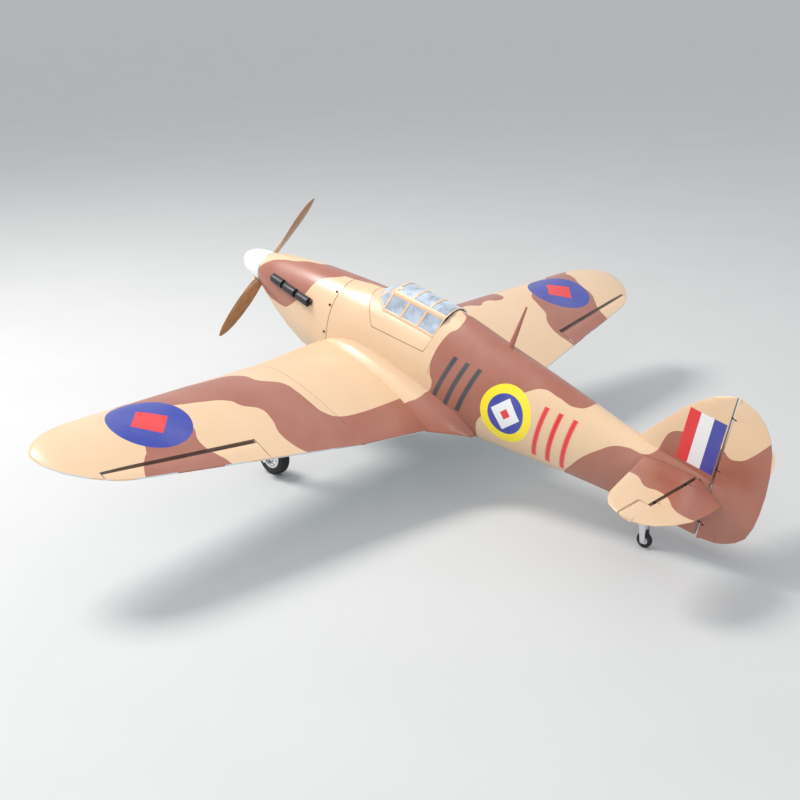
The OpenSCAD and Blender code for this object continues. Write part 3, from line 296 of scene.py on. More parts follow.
def body_brown(g, x, y, z):
    """1 where the body is brown."""
    mid = g.both(g.over(y, g.along(z, MID_FRONT)), g.over(z, g.along(y, MID_BACK)),
                 g.under(y, MID_BACK[-1][0]))
    tail = g.both(g.under(z, g.along(y, TAIL_TOP)), g.over(y, TAIL_TOP[0][0]))
    strip = g.both(g.under(x, g.along(y, NOSE_STRIP)), g.over(z, NOSE_STRIP_LOW),
                   g.under(y, NOSE_STRIP[-1][0]))
    nose = g.both(g.over(z, g.along(y, NOSE_LOW)), g.outside(strip), g.under(y, NOSE_LOW[-1][0]))
    far_side = g.both(g.over(z, g.along(y, RIGHT_SIDE_LOW)), g.between(y, *RIGHT_SIDE_ENDS),
                      g.under(x, g.along(y, RIGHT_SIDE_TOP)))
    return g.either(mid, tail, nose, far_side)


# Outer edges of the brown on the tailplane, as (aft, distance from the centre line)
TAILPLANE_LEFT = ((1318, 103), (1349, 113), (1365, 115), (1379, 122), (1392, 133), (1406, 138),
                  (1423, 131), (1441, 130), (1460, 139), (1484, 158), (1502, 163), (1538, 145))
TAILPLANE_RIGHT = ((1330, 200), (1380, 190), (1420, 160), (1470, 120), (1510, 130), (1550, 150))


def tailplane_brown(g, x, y):
    """1 where the tailplane and the elevators are brown."""
    reach = g.math("ABSOLUTE", x)
    return g.either(g.both(g.over(x, 0), g.under(reach, g.along(y, TAILPLANE_LEFT))),
                    g.both(g.under(x, 0), g.under(reach, g.along(y, TAILPLANE_RIGHT))))


# ---------------------------------------------------------------- markings

# Centre and radius of each disc: across and aft on the wings, aft and up on the body
WING_DISC = (725, 553, 92)
BODY_DISC = (992, 3.5, 68)

# Each part of a disc, as its shape and its size as a share of the radius
WING_DISC_PARTS = (("round", 1.0, DISC_BLUE), ("diamond", 0.52, DISC_RED))
BODY_DISC_PARTS = (("round", 1.0, DISC_YELLOW), ("round", 0.70, DISC_BLUE), ("diamond", 0.58, DISC_WHITE),
                   ("diamond", 0.20, DISC_RED))

# Where the bars' feet are, how far a head is behind its foot, a bar's width, and the height of foot and head
GREY_BARS = ((790, 826, 862), 32, 13, (-48, 70))
RED_BARS = ((1077, 1113, 1150), 8, 12, (-66, 60))

# Edges of the three stripes on the fin: fore to aft, and low to high
FIN_STRIPES = (1386, 1413, 1444, 1474)
FIN_STRIPES_UP = (75, 193)


def stack(g, colour, layers):
    """Paints each (mask, colour) layer over the ones before it."""
    for mask, tone in layers:
        colour = g.mix(mask, colour, tone)
    return colour


def disc_layers(g, a, b, disc, parts):
    """Round and diamond parts about a disc's centre, in the plane of a and b."""
    centre_a, centre_b, radius = disc
    da = g.math("SUBTRACT", a, centre_a)
    db = g.math("SUBTRACT", b, centre_b)
    away = {
        "round": g.math("SQRT", g.math("ADD", g.math("MULTIPLY", da, da), g.math("MULTIPLY", db, db))),
        "diamond": g.math("ADD", g.math("ABSOLUTE", da), g.math("ABSOLUTE", db)),
    }
    return [(g.under(away[shape], radius * share), colour) for shape, share, colour in parts]


def bar_layers(g, y, z, bars, colour):
    """Slanted bars on the body's side."""
    feet, lean, width, (low, high) = bars
    slope = lean / (high - low)
    layers = []
    for foot in feet:
        centre_line = g.math("ADD", g.math("MULTIPLY", z, slope), foot - low * slope)
        layers.append((g.both(g.line(y, centre_line, width), g.between(z, low, high)), colour))
    return layers


def wing_marks(g, colour, x, y):
    return stack(g, colour, disc_layers(g, g.math("ABSOLUTE", x), y, WING_DISC, WING_DISC_PARTS))


def body_marks(g, colour, y, z):
    return stack(g, colour, disc_layers(g, y, z, BODY_DISC, BODY_DISC_PARTS)
                 + bar_layers(g, y, z, GREY_BARS, BAR_GREY) + bar_layers(g, y, z, RED_BARS, DISC_RED))


def fin_marks(g, colour, y, z):
    """Three upright stripes with sharp edges."""
    tall = g.between(z, *FIN_STRIPES_UP)
    spans = zip(FIN_STRIPES, FIN_STRIPES[1:], (DISC_RED, DISC_WHITE, DISC_BLUE))
    return stack(g, colour, [(g.both(g.between(y, fore, back, soft=0.4), tall), tone)
                             for fore, back, tone in spans])


# ---------------------------------------------------------------- covering

FADED = (0.95, 0.80, 0.68)
GRIME = (0.16, 0.09, 0.06)
FILM_ROUGHNESS = 0.34


def film(g, colour):
    """Satin heat-shrink film over balsa: faint mottling, wrinkles and a soft sheen."""
    broad = g.noise(scale=9, detail=4, roughness=0.55)
    fine = g.noise(scale=160, detail=3, roughness=0.6)
    wrinkles = g.noise(scale=26, detail=2, stretch=(1, 0.5, 1))
    tint = g.mix(g.ranged(broad, 0.35, 0.7, 0.0, 0.06), colour, FADED)
    tint = g.mix(g.ranged(fine, 0.45, 0.75, 0.0, 0.05), tint, GRIME)
    sheen = g.ranged(broad, 0.3, 0.7, FILM_ROUGHNESS - 0.05, FILM_ROUGHNESS + 0.09)
    g.set(base_color=tint, roughness=sheen, coat_weight=0.18, coat_roughness=0.16)
    g.bump(wrinkles, distance_mm=0.5, strength=0.35)
    g.bump(fine, distance_mm=0.04, strength=0.4)


def facing_parts(g):
    """How far the surface faces aft and up in the row frame."""
    facing = g.add("ShaderNodeTexCoord").outputs["Normal"]
    split = g.add("ShaderNodeSeparateXYZ")
    g.feed(split.inputs[0], facing)
    return split.outputs[1], split.outputs[2]


def faces_down(g, limit):
    """1 where the surface faces up less than limit, in the aircraft's own axes."""
    ny, nz = facing_parts(g)
    rise = g.math("ADD", g.math("MULTIPLY", nz, math.cos(ground_angle)),
                  g.math("MULTIPLY", ny, math.sin(ground_angle)))
    return g.math("LESS_THAN", rise, limit)


def slot_shade(g, y, low, high):
    """Painted shade: 1 on faces that look fore or aft inside a control surface's slot, where the slot's shade
    falls.
    """
    aft_part = facing_parts(g)[0]
    steep = g.math("GREATER_THAN", g.math("ABSOLUTE", aft_part), 0.7)
    return g.both(steep, g.between(y, low, high))


def darken(g, colour, mask, share):
    """Puts a share of the dark seam colour where the mask is 1; on the slots' inner faces this is painted
    shade.
    """
    return g.mix(g.math("MULTIPLY", mask, share), colour, SEAM_AND_SHADE)


# The cowl's rear seam, which curves forwards below a height and ends at another
COWL_SEAM = 421
COWL_SEAM_BEND = 0.0175
COWL_SEAM_BEND_TOP = -50
COWL_SEAM_END = -88
COWL_SEAM_WIDTH = 2.2

# Corners of the hatch's seam, as (aft, up), from the windscreen's foot down, along the sill and up behind
HATCH_SEAM = ((496, 112), (562, 42), (731, 47), (754, 149))
HATCH_SEAM_WIDTH = 1.6
HATCH_SEAM_FORE_WIDTH = 1.8

# Where the tan and brown end and the pale underside starts, as (aft, up)
BELLY_LINE = ((95, -50), (180, -78), (300, -122), (420, -132), (762, -126), (1000, -108), (1200, -89),
              (1400, -76), (1480, -72))


def body_seams(g, y, z):
    """The dark lines round the cowl and the hatch."""
    drop = g.math("MAXIMUM", g.math("SUBTRACT", COWL_SEAM_BEND_TOP, z), 0.0)
    ahead = g.math("MULTIPLY", g.math("MULTIPLY", drop, drop), COWL_SEAM_BEND)
    cowl = g.both(g.line(y, g.math("SUBTRACT", COWL_SEAM, ahead), COWL_SEAM_WIDTH),
                  g.over(z, COWL_SEAM_END))
    top, front, back, end = HATCH_SEAM
    fore = g.both(g.line(z, g.along(y, (top, front)), HATCH_SEAM_FORE_WIDTH),
                  g.between(y, top[0], front[0]))
    sill = g.both(g.line(z, g.along(y, (front, back)), HATCH_SEAM_WIDTH), g.between(y, front[0], back[0]))
    rear = g.both(g.line(y, g.along(z, (back[::-1], end[::-1])), HATCH_SEAM_WIDTH),
                  g.between(z, back[1], end[1]))
    return g.either(cowl, sill, rear, fore)


def body_film():
    g = Graph("body_film")
    x, y, z = g.position()
    colour = g.mix(body_brown(g, x, y, z), TAN, BROWN)
    colour = body_marks(g, colour, y, z)
    colour = g.mix(g.under(z, g.along(y, BELLY_LINE)), colour, PALE)
    film(g, darken(g, colour, body_seams(g, y, z), 0.85))
    return g.material


def fillet_film():
    """The body's camouflage without its marks, pale where the fairing curls under the wing."""
    g = Graph("fillet_film")
    x, y, z = g.position()
    colour = g.mix(body_brown(g, x, y, z), TAN, BROWN)
    colour = g.mix(faces_down(g, -0.35), colour, PALE)
    film(g, colour)
    return g.material


# Across: where the wing panels meet, and how far apart the ribs are
WING_JOINT = 312
RIB_SPACING = 76

# The aileron's hinge line as (distance from the centre line, aft), and the slot's ends and edges about it,
# between which shade is painted
AILERON_HINGE = ((551, 694), (914, 653))
AILERON_SLOT_ENDS = (545, 918)
AILERON_SLOT = (-6, 9)

# Fore and aft edges of the slots in the tail, inside which shade is painted
ELEVATOR_SLOT = (1440, 1452)
RUDDER_SLOT = (1468, 1484)
# How strongly shade is painted on the slots' inner faces
SLOT_SHADE_DARKNESS = 0.9


def wing_film():
    g = Graph("wing_film")
    x, y, _ = g.position()
    reach = g.math("ABSOLUTE", x)
    colour = g.mix(wing_brown(g, x, y), TAN, BROWN)
    colour = wing_marks(g, colour, x, y)
    colour = darken(g, colour, g.line(reach, WING_JOINT, 1.6), 0.5)
    colour = g.mix(faces_down(g, 0.0), colour, PALE)
    behind_hinge = g.math("SUBTRACT", y, g.along(reach, AILERON_HINGE))
    # Painted shade on the faces inside the aileron's slot
    slot = g.both(slot_shade(g, behind_hinge, *AILERON_SLOT), g.between(reach, *AILERON_SLOT_ENDS))
    bay = g.math("FRACT", g.math("DIVIDE", x, RIB_SPACING))
    sag = g.math("ABSOLUTE", g.math("SUBTRACT", bay, 0.5))
    g.bump(g.ranged(sag, 0.0, 0.5), distance_mm=0.5, strength=0.25)
    film(g, darken(g, colour, slot, SLOT_SHADE_DARKNESS))
    return g.material


def tailplane_film():
    g = Graph("tailplane_film")
    x, y, _ = g.position()
    colour = g.mix(tailplane_brown(g, x, y), TAN, BROWN)
    colour = g.mix(faces_down(g, -0.2), colour, PALE)
    # Painted shade on the faces inside the elevator's slot
    film(g, darken(g, colour, slot_shade(g, y, *ELEVATOR_SLOT), SLOT_SHADE_DARKNESS))
    return g.material


def fin_film():
    g = Graph("fin_film")
    _, y, z = g.position()
    colour = g.mix(g.under(z, g.along(y, TAIL_TOP)), TAN, BROWN)
    colour = fin_marks(g, colour, y, z)
    # Painted shade on the faces inside the rudder's slot
    film(g, darken(g, colour, slot_shade(g, y, *RUDDER_SLOT), SLOT_SHADE_DARKNESS))
    return g.material


def plain_film(name, colour):
    g = Graph(name)
    film(g, colour)
    return g.material


# ---------------------------------------------------------------- other finishes

def shade_of(colour, share):
    """The same colour, darker."""
    return tuple(part * share for part in colour)


def paint(name, colour, roughness, grain_mm=0.04, coat=0.0):
    """Slightly uneven paint, rubber or leather; grain_mm is how deep its fine grain is."""
    g = Graph(name)
    patches = g.ranged(g.noise(scale=60, detail=4), 0.35, 0.7, 0, 0.25)
    wear = g.ranged(g.noise(scale=35), 0.3, 0.7, roughness - 0.06, roughness + 0.08)
    g.set(base_color=g.mix(patches, colour, shade_of(colour, 0.72)), roughness=wear, coat_weight=coat,
          coat_roughness=0.08)
    g.bump(g.noise(scale=420, detail=2), grain_mm, strength=0.5)
    return g.material


def metal(name, colour, roughness):
    """Metal with level brush marks."""
    g = Graph(name)
    brushed = g.noise(scale=90, roughness=0.6, stretch=(1, 1, 14))
    wear = g.ranged(brushed, 0.3, 0.7, roughness - 0.07, roughness + 0.1)
    g.set(base_color=g.mix(g.ranged(brushed, 0.3, 0.7, 0, 0.35), colour, shade_of(colour, 0.7)),
          metallic=1.0, roughness=wear)
    g.bump(brushed, distance_mm=0.03, strength=0.5)
    return g.material


def birch_ply():
    """Plywood with its grain across the aircraft."""
    g = Graph("birch_ply")
    light, dark = (0.62, 0.42, 0.24), (0.46, 0.28, 0.14)
    along_grain = (1, 9, 9)
    bands = g.noise(scale=14, detail=5, roughness=0.62, stretch=along_grain)
    pores = g.noise(scale=126, roughness=0.7, stretch=along_grain)
    colour = g.mix(g.ranged(bands, 0.35, 0.68), light, dark)
    colour = g.mix(g.ranged(pores, 0.58, 0.75, 0, 0.35), colour, shade_of(dark, 0.45))
    g.set(base_color=colour, roughness=0.6)
    g.bump(pores, distance_mm=0.05, strength=0.4)
    return g.material


def blade_angle():
    """How far the blade that points up and to the right is above level."""
    spots = [measure(v.co) for v in nodes["propeller"].data.vertices]
    reach = max(math.hypot(x, z) for x, _, z in spots)
    tip = [(x, z) for x, _, z in spots if z > 0 and math.hypot(x, z) > reach - 1]
    return math.atan2(sum(z for _, z in tip), -sum(x for x, _ in tip))


def propeller_wood():
    """Laminated beech under clear varnish, with the grain along the blades."""
    g = Graph("propeller_wood")
    x, y, z = g.position()
    along_grain, across_grain = 0.010, 0.20
    tilt = blade_angle()
    span = g.math("ADD", g.math("MULTIPLY", x, -math.cos(tilt)), g.math("MULTIPLY", z, math.sin(tilt)))
    chord = g.math("ADD", g.math("MULTIPLY", x, math.sin(tilt)), g.math("MULTIPLY", z, math.cos(tilt)))
    join = g.add("ShaderNodeCombineXYZ")
    g.feed(join.inputs[0], g.math("MULTIPLY", span, along_grain))
    g.feed(join.inputs[1], g.math("MULTIPLY", chord, across_grain))
    g.feed(join.inputs[2], g.math("MULTIPLY", y, across_grain))
    grain = g.noise(scale=3.2, detail=5, roughness=0.6, vector=join.outputs[0])
    pores = g.noise(scale=22, detail=2, roughness=0.6, vector=join.outputs[0])
    light, dark, pore = (0.50, 0.24, 0.085), (0.27, 0.105, 0.032), (0.14, 0.05, 0.018)
    colour = g.mix(g.ranged(grain, 0.35, 0.68), light, dark)
    colour = g.mix(g.ranged(pores, 0.58, 0.78, 0, 0.4), colour, pore)
    g.set(base_color=colour, roughness=0.3, coat_weight=0.6, coat_roughness=0.09)
    g.bump(pores, distance_mm=0.06, strength=0.4)
    return g.material


def clear_sheet():
    """Thin moulded plastic: clear face on, bluish and bright at a glance, with patches of painted bluish
    reflection.
    """
    g = Graph("clear_sheet")
    wave = g.noise(scale=14, detail=2)
    cloud = g.noise(scale=22, detail=4, roughness=0.6)
    shine = g.add("ShaderNodeBsdfGlossy")
    g.feed(shine.inputs["Color"], (0.86, 0.93, 1.0))
    g.feed(shine.inputs["Roughness"], g.ranged(wave, 0.3, 0.7, 0.04, 0.13))
    through = g.add("ShaderNodeBsdfTransparent")
    g.feed(through.inputs["Color"], (0.74, 0.84, 0.95))
    # Painted reflection: a bluish diffuse layer that stands in for the sky reflected in the sheet
    painted_reflection = g.add("ShaderNodeBsdfDiffuse")
    g.feed(painted_reflection.inputs["Color"], (0.70, 0.80, 0.95))
    edge = g.add("ShaderNodeFresnel")
    g.feed(edge.inputs["IOR"], 1.5)
    glance = g.math("ADD", g.math("MULTIPLY", edge.outputs[0], 1.6), g.ranged(wave, 0.35, 0.65, 0.30, 0.60),
                    clamp=True)
    clear = blend_shaders(g, glance, through, shine)
    # The cloud noise spreads the painted reflection in patches over the clear sheet
    clear_with_reflection = blend_shaders(g, g.ranged(cloud, 0.42, 0.66, 0.10, 0.62), clear, painted_reflection)
    g.feed(g.output.inputs[0], clear_with_reflection.outputs[0])
    g.tree.nodes.remove(g.surface)
    return g.material


def blend_shaders(g, share, a, b):
    """Shader node a where share is 0, shader node b where it's 1."""
    node = g.add("ShaderNodeMixShader")
    for socket, value in zip(node.inputs, (share, a.outputs[0], b.outputs[0])):
        g.feed(socket, value)
    return node


# ---------------------------------------------------------------- smooth shading of carried-over nodes

WELD_MM = 0.02


def smoothing(limit_degrees):
    """A node group that joins split corners and shades everything smooth but edges sharper than the limit."""
    name = "smooth_under_%d" % limit_degrees
    if name in bpy.data.node_groups:
        return bpy.data.node_groups[name]
    group = bpy.data.node_groups.new(name, "GeometryNodeTree")
    group.interface.new_socket("Geometry", in_out="INPUT", socket_type="NodeSocketGeometry")
    group.interface.new_socket("Geometry", in_out="OUTPUT", socket_type="NodeSocketGeometry")
    start = group.nodes.new("NodeGroupInput")
    end = group.nodes.new("NodeGroupOutput")
    weld = group.nodes.new("GeometryNodeMergeByDistance")
    weld.inputs["Distance"].default_value = WELD_MM * MM
    all_smooth = group.nodes.new("GeometryNodeSetShadeSmooth")
    keep_sharp = group.nodes.new("GeometryNodeSetShadeSmooth")
    keep_sharp.domain = "EDGE"
    keep_sharp.inputs["Shade Smooth"].default_value = False
    angle = group.nodes.new("GeometryNodeInputMeshEdgeAngle")
    sharp = group.nodes.new("FunctionNodeCompare")
    sharp.operation = "GREATER_THAN"
    sharp.inputs["B"].default_value = math.radians(limit_degrees)
    group.links.new(angle.outputs["Unsigned Angle"], sharp.inputs["A"])
    group.links.new(sharp.outputs["Result"], keep_sharp.inputs["Selection"])
    group.links.new(start.outputs[0], weld.inputs["Geometry"])
    group.links.new(weld.outputs[0], all_smooth.inputs["Geometry"])
    group.links.new(all_smooth.outputs[0], keep_sharp.inputs["Geometry"])
    group.links.new(keep_sharp.outputs[0], end.inputs[0])
    return group


def soften(obj, limit_degrees):
    """Smooth shading for a carried-over node, in place of the facets it's stored with."""
    for name in ("custom_normal", "sharp_face", "sharp_edge"):
        if name in obj.data.attributes:
            obj.data.attributes.remove(obj.data.attributes[name])
    modifier = obj.modifiers.new("smooth", "NODES")
    modifier.node_group = smoothing(limit_degrees)


def dress(material, *names, limit=30):
    """Gives CAD nodes a material and smooth shading."""
    for name in names:
        obj = nodes[name]
        obj.data.materials.clear()
        obj.data.materials.append(material)
        soften(obj, limit)


# Materials that more than one piece has
rubber = paint("tyre_rubber", (0.016, 0.016, 0.017), 0.7, 0.25)
bare_steel = metal("bolt_steel", (0.50, 0.50, 0.52), 0.28)
wire_red = paint("wire_red", (0.45, 0.015, 0.012), 0.4)
wire_black = paint("wire_black", (0.02, 0.02, 0.02), 0.45)
strap_grey = paint("strap_webbing", (0.10, 0.10, 0.095), 0.85, 0.5)
tan_webbing = paint("harness_webbing", (0.36, 0.30, 0.20), 0.85, 0.5)
panel_black = paint("panel_black", (0.02, 0.022, 0.022), 0.5, 0.1)
dial_cream = paint("dial_cream", (0.55, 0.52, 0.42), 0.3, 0.02, 0.4)

dress(body_film(), "fuselage_shell", "engine_cowl", "hatch_base")
dress(fillet_film(), "wing_fillets")
dress(wing_film(), "wing_centre_section", "outer_wing_left", "outer_wing_right", "aileron_left",
      "aileron_right")
dress(tailplane_film(), "tailplane", "elevator_left", "elevator_right")
dress(fin_film(), "fin", "rudder")
dress(plain_film("frame_film", TAN), "canopy_frame", limit=20)
# The mast's film is the camouflage brown in the tone of its shaded side, so painted shade is part of its
# colour
dress(plain_film("mast_shade_brown_film", BROWN), "radio_mast")
dress(plain_film("pale_film", PALE), "belly_pan", "belly_radiator", "flap_inner_left", "flap_inner_right",
      "flap_outer_left", "flap_outer_right", "gear_door_left", "gear_door_right")
dress(paint("spinner_white", (0.86, 0.87, 0.88), 0.2, 0.02, 0.5), "spinner_cone")
dress(paint("soot_black", (0.018, 0.018, 0.022), 0.42, 0.1), "exhaust_stubs", limit=50)
dress(propeller_wood(), "propeller", limit=40)
dress(clear_sheet(), "canopy_glass", limit=12)
dress(birch_ply(), "fuselage_formers", "equipment_trays")
dress(metal("steel", (0.56, 0.56, 0.58), 0.35), "elevator_joiner", "aileron_rod_left", "aileron_rod_right")
dress(metal("blued_steel", (0.05, 0.05, 0.055), 0.45), "cowl_screws", "hinge_wires")
dress(metal("alloy", (0.78, 0.79, 0.81), 0.32), "wing_joiner_tube", "retract_units", "tail_wheel_bracket",
      "spinner_backplate", "gear_leg_left", "gear_leg_right", "wheel_hub_left", "wheel_hub_right",
      "tail_wheel_fork", "tail_wheel")
dress(metal("motor_metal", (0.22, 0.23, 0.26), 0.3), "motor_stator", "motor_bell")
dress(metal("strut_chrome", (0.85, 0.86, 0.88), 0.1), "oleo_left", "oleo_right")
dress(rubber, "tyre_left", "tyre_right", "tail_tyre")
dress(paint("cockpit_grey", (0.07, 0.085, 0.07), 0.55, 0.1), "cockpit_tub")
dress(paint("seat_leather", (0.13, 0.06, 0.03), 0.5, 0.3), "pilot_seat")
dress(paint("battery_wrap", (0.03, 0.05, 0.2), 0.25, 0.05), "battery_pack")
dress(paint("case_black", (0.015, 0.015, 0.016), 0.4, 0.1), "speed_controller", "receiver", "servos",
      "aileron_arm_left", "aileron_arm_right")


# ---------------------------------------------------------------- pieces built here

class Piece:
    """A piece drawn across, aft and up in millimetres, and placed in the row frame when it's finished."""

    def __init__(self):
        self.mesh = bmesh.new()

    def block(self, low, high, rounding):
        """A box with rounded edges."""
        corners = bmesh.ops.create_cube(self.mesh, size=1)["verts"]
        for corner in corners:
            corner.co = Vector([low[k] + (corner.co[k] + 0.5) * (high[k] - low[k]) for k in range(3)])
        edges = list({edge for corner in corners for edge in corner.link_edges})
        bmesh.ops.bevel(self.mesh, geom=edges, offset=rounding, segments=3, profile=0.5, affect="EDGES")

    def skin(self, rings, hollow=False):
        """A surface through rings of points; a hollow one joins its last ring to its first."""
        rows = [[self.mesh.verts.new(point) for point in ring] for ring in rings]
        count = len(rows[0])
        if hollow:
            rows.append(rows[0])
        for a, b in zip(rows, rows[1:]):
            for i in range(count):
                j = (i + 1) % count
                self.mesh.faces.new((a[i], a[j], b[j], b[i]))
        if not hollow:
            self.mesh.faces.new(rows[0][::-1])
            self.mesh.faces.new(rows[-1])

    def turned(self, centre, axis, profile, steps, notch=None, hollow=False):
        """Revolves (distance along the axis, radius) points; notch(step, index) shortens a radius."""
        axis = Vector(axis).normalized()
        side = axis.orthogonal().normalized()
        other = axis.cross(side)
        rings = []
        for index, (reach, radius) in enumerate(profile):
            ring = []
            for step in range(steps):
                angle = 2 * math.pi * step / steps
                r = radius - (notch(step, index) if notch else 0)
                outward = side * math.cos(angle) + other * math.sin(angle)
                ring.append(Vector(centre) + axis * reach + outward * r)
            rings.append(ring)
        self.skin(rings, hollow)

    def cord(self, path, radius, sides=10, flat=1.0):
        """A round cord, or a flat strap if flat is more than 1, along a smooth path."""
        points = smooth_path(path)
        rings = []
        for index, point in enumerate(points):
            ahead = (points[min(index + 1, len(points) - 1)] - points[max(index - 1, 0)]).normalized()
            across = Vector((1, 0, 0)) - ahead * ahead.x
            if across.length < 0.2:
                across = Vector((0, 0, 1)) - ahead * ahead.z
            across.normalize()
            lift = ahead.cross(across)
            rings.append([point + across * (math.cos(a) * radius * flat) + lift * (math.sin(a) * radius)
                          for a in [2 * math.pi * k / sides for k in range(sides)]])
        self.skin(rings)

    def finish(self, name, body, material, sharp=35):
        """Makes the drawn piece an object that moves with a body."""
        for corner in self.mesh.verts:
            corner.co = place(*corner.co)
        bmesh.ops.recalc_face_normals(self.mesh, faces=self.mesh.faces)
        mesh = bpy.data.meshes.new(name)
        self.mesh.to_mesh(mesh)
        self.mesh.free()
        mesh.materials.append(material)
        for polygon in mesh.polygons:
            polygon.use_smooth = True
        mesh.set_sharp_from_angle(angle=math.radians(sharp))
        obj = bpy.data.objects.new(name, mesh)
        bpy.context.scene.collection.objects.link(obj)
        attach(obj, body)
        return obj


def smooth_path(path, steps=8):
    """Points on a curve that runs smoothly through the given ones."""
    path = [Vector(p) for p in path]
    ends = [path[0] * 2 - path[1]] + path + [path[-1] * 2 - path[-2]]
    points = []
    for a, b, c, d in zip(ends, ends[1:], ends[2:], ends[3:]):
        for k in range(steps):
            t = k / steps
            points.append(0.5 * ((2 * b) + (c - a) * t + (2 * a - 5 * b + 4 * c - d) * t ** 2
                                 + (3 * b - a - 3 * c + d) * t ** 3))
    points.append(path[-1])
    return points


def tread(name, node, body, ribs, grooves, bead_share):
    """A tyre with round shoulders, grooves round it and notches across its tread."""
    low, high = extent(node)
    centre = middle(low, high)
    clearance = 0.1
    radius = (high[2] - low[2]) / 2 - clearance
    half = (high[0] - low[0]) / 2
    bead = radius * bead_share
    flat = half * 0.62
    groove_floor = radius - half * 0.07
    wall = half * 0.035
    notch_depth = half * 0.06
    steps_per_rib = 4
    side_wall = [(-half * 0.8, bead), (-half * 0.97, bead + 2.2), (-half, bead + half * 0.55),
                 (-half * 0.93, radius - half * 0.36), (-flat - half * 0.16, radius - half * 0.10)]
    profile = list(side_wall)
    for k in range(grooves + 1):
        a = -flat + 2 * flat * k / (grooves + 1)
        b = -flat + 2 * flat * (k + 1) / (grooves + 1)
        profile += [(a + wall, groove_floor), (a + wall * 1.4, radius), (b - wall * 1.4, radius),
                    (b - wall, groove_floor)]
    profile += [(-reach, r) for reach, r in side_wall[::-1]]
    shoulders = (len(side_wall) - 1, len(profile) - len(side_wall))

    def notch(step, index):
        return notch_depth if index in shoulders and step % steps_per_rib == 0 else 0

    piece = Piece()
    piece.turned(centre, (1, 0, 0), profile, ribs * steps_per_rib, notch, hollow=True)
    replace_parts(piece.finish(name, body, rubber, 28), node)


def wheel_bolts(side, body):
    """Hexagon bolts with washers on each face of the wheel's web, and a valve."""
    low, high = extent("wheel_hub_" + side)
    centre = middle(low, high)
    radius = (high[2] - low[2]) / 2
    web = radius * 0.133
    bolt_circle = radius * 0.58
    bolts = 6
    washer = ((-0.5, 3.1), (0.5, 3.1), (0.7, 2.9))
    head = ((0.6, 2.2), (2.1, 2.2), (2.5, 1.9))
    valve = ((-1, 1.1), (4, 1.1), (4.1, 1.4), (6.5, 1.4), (7, 1.0))
    piece = Piece()
    for face in (-1, 1):
        for k in range(bolts):
            angle = 2 * math.pi * (k + 0.5) / bolts
            spot = (centre[0] + face * web, centre[1] + bolt_circle * math.cos(angle),
                    centre[2] + bolt_circle * math.sin(angle))
            piece.turned(spot, (face, 0, 0), washer, 24)
            piece.turned(spot, (face, 0, 0), head, 6)
    piece.turned((centre[0] + web, centre[1] + radius * 0.72, centre[2]), (1, 0, 0), valve, 16)
    piece.finish("wheel_bolts_" + side, body, bare_steel)


# Each dial, as how far across it is, how far below the cockpit's rim, and its radius
DIALS = ((-22, 14, 7), (0, 13, 8), (22, 14, 7), (-12, 30, 6), (12, 30, 6))


def instrument_panel():
    """Hooded panel with five round dials, facing the seat."""
    low, high = extent("cockpit_tub")
    face = low[1] + 16
    rim = high[2]
    board = Piece()
    board.block((low[0] + 3, face - 3, low[2] + 16), (high[0] - 3, face, rim + 1), 1.5)
    board.cord([(-34, face + 3, rim - 3), (-22, face + 4, rim + 4), (0, face + 4, rim + 6),
                (22, face + 4, rim + 4), (34, face + 3, rim - 3)], 2.2)
    board.finish("instrument_panel", "canopy_hatch", panel_black)
    rims = Piece()
    faces = Piece()
    for x, drop, r in DIALS:
        spot = (x, face, rim - drop)
        ring = ((-0.5, r), (1.6, r), (2.0, r - 0.4), (2.0, r - 1.2), (0.8, r - 1.4))
        rims.turned(spot, (0, 1, 0), ring, 32)
        faces.turned(spot, (0, 1, 0), ((0.3, r - 1.5), (0.9, r - 1.5), (1.0, r - 1.8)), 32)
    rims.finish("dial_rims", "canopy_hatch", bare_steel)
    faces.finish("dial_faces", "canopy_hatch", dial_cream)


def control_stick():
    """A bent stick with a grip on top and a rubber boot round its foot."""
    low, high = extent("pilot_seat")
    foot = low[1] - 22
    floor_z = low[2]
    grip = ((0, 2.2), (2, 3.2), (7, 2.7), (12, 3.1), (14, 2.3), (14.6, 0.8))
    boot = ((0, 5), (3, 4.6), (6, 2.6), (8, 1.7))
    stick = Piece()
    stick.cord([(0, foot, floor_z), (0, foot + 1, floor_z + 12), (0, foot + 3, floor_z + 25)], 1.6)
    stick.turned((0, foot + 3.4, floor_z + 24), (0, 0.1, 1), grip, 20)
    stick.turned((0, foot, floor_z - 0.5), (0, 0, 1), boot, 24)
    stick.finish("control_stick", "canopy_hatch", panel_black)


def seat_fittings():
    """A padded cushion and back, two shoulder straps and their buckle."""
    low, high = extent("pilot_seat")
    seat_top = low[2] + 12
    back = high[1] - 6
    buckle_y = low[1] + 16
    leather = paint("cushion_leather", (0.16, 0.075, 0.035), 0.5, 0.4)
    pads = Piece()
    pads.block((low[0] + 1, low[1] + 1, seat_top), (high[0] - 1, back - 1, seat_top + 5), 2.2)
    pads.block((low[0] + 2, back - 3, seat_top + 9), (high[0] - 2, back, high[2] - 3), 1.4)
    pads.finish("seat_cushions", "canopy_hatch", leather)
    straps = Piece()
    for x in (-8, 8):
        straps.cord([(x, back + 2, high[2] - 12), (x, back + 1, high[2] + 1), (x, back - 4, high[2] - 3),
                     (x, back - 5, seat_top + 24), (x * 0.7, back - 9, seat_top + 9),
                     (x * 0.3, buckle_y, seat_top + 6.5)], 0.7, flat=4.2)
    straps.finish("shoulder_straps", "canopy_hatch", tan_webbing)
    buckle = Piece()
    buckle.turned((0, buckle_y, seat_top + 5.5), (0, 0, 1), ((0, 4.5), (2, 4.5), (2.8, 3.6), (2.9, 1)), 28)
    buckle.finish("harness_buckle", "canopy_hatch", bare_steel)


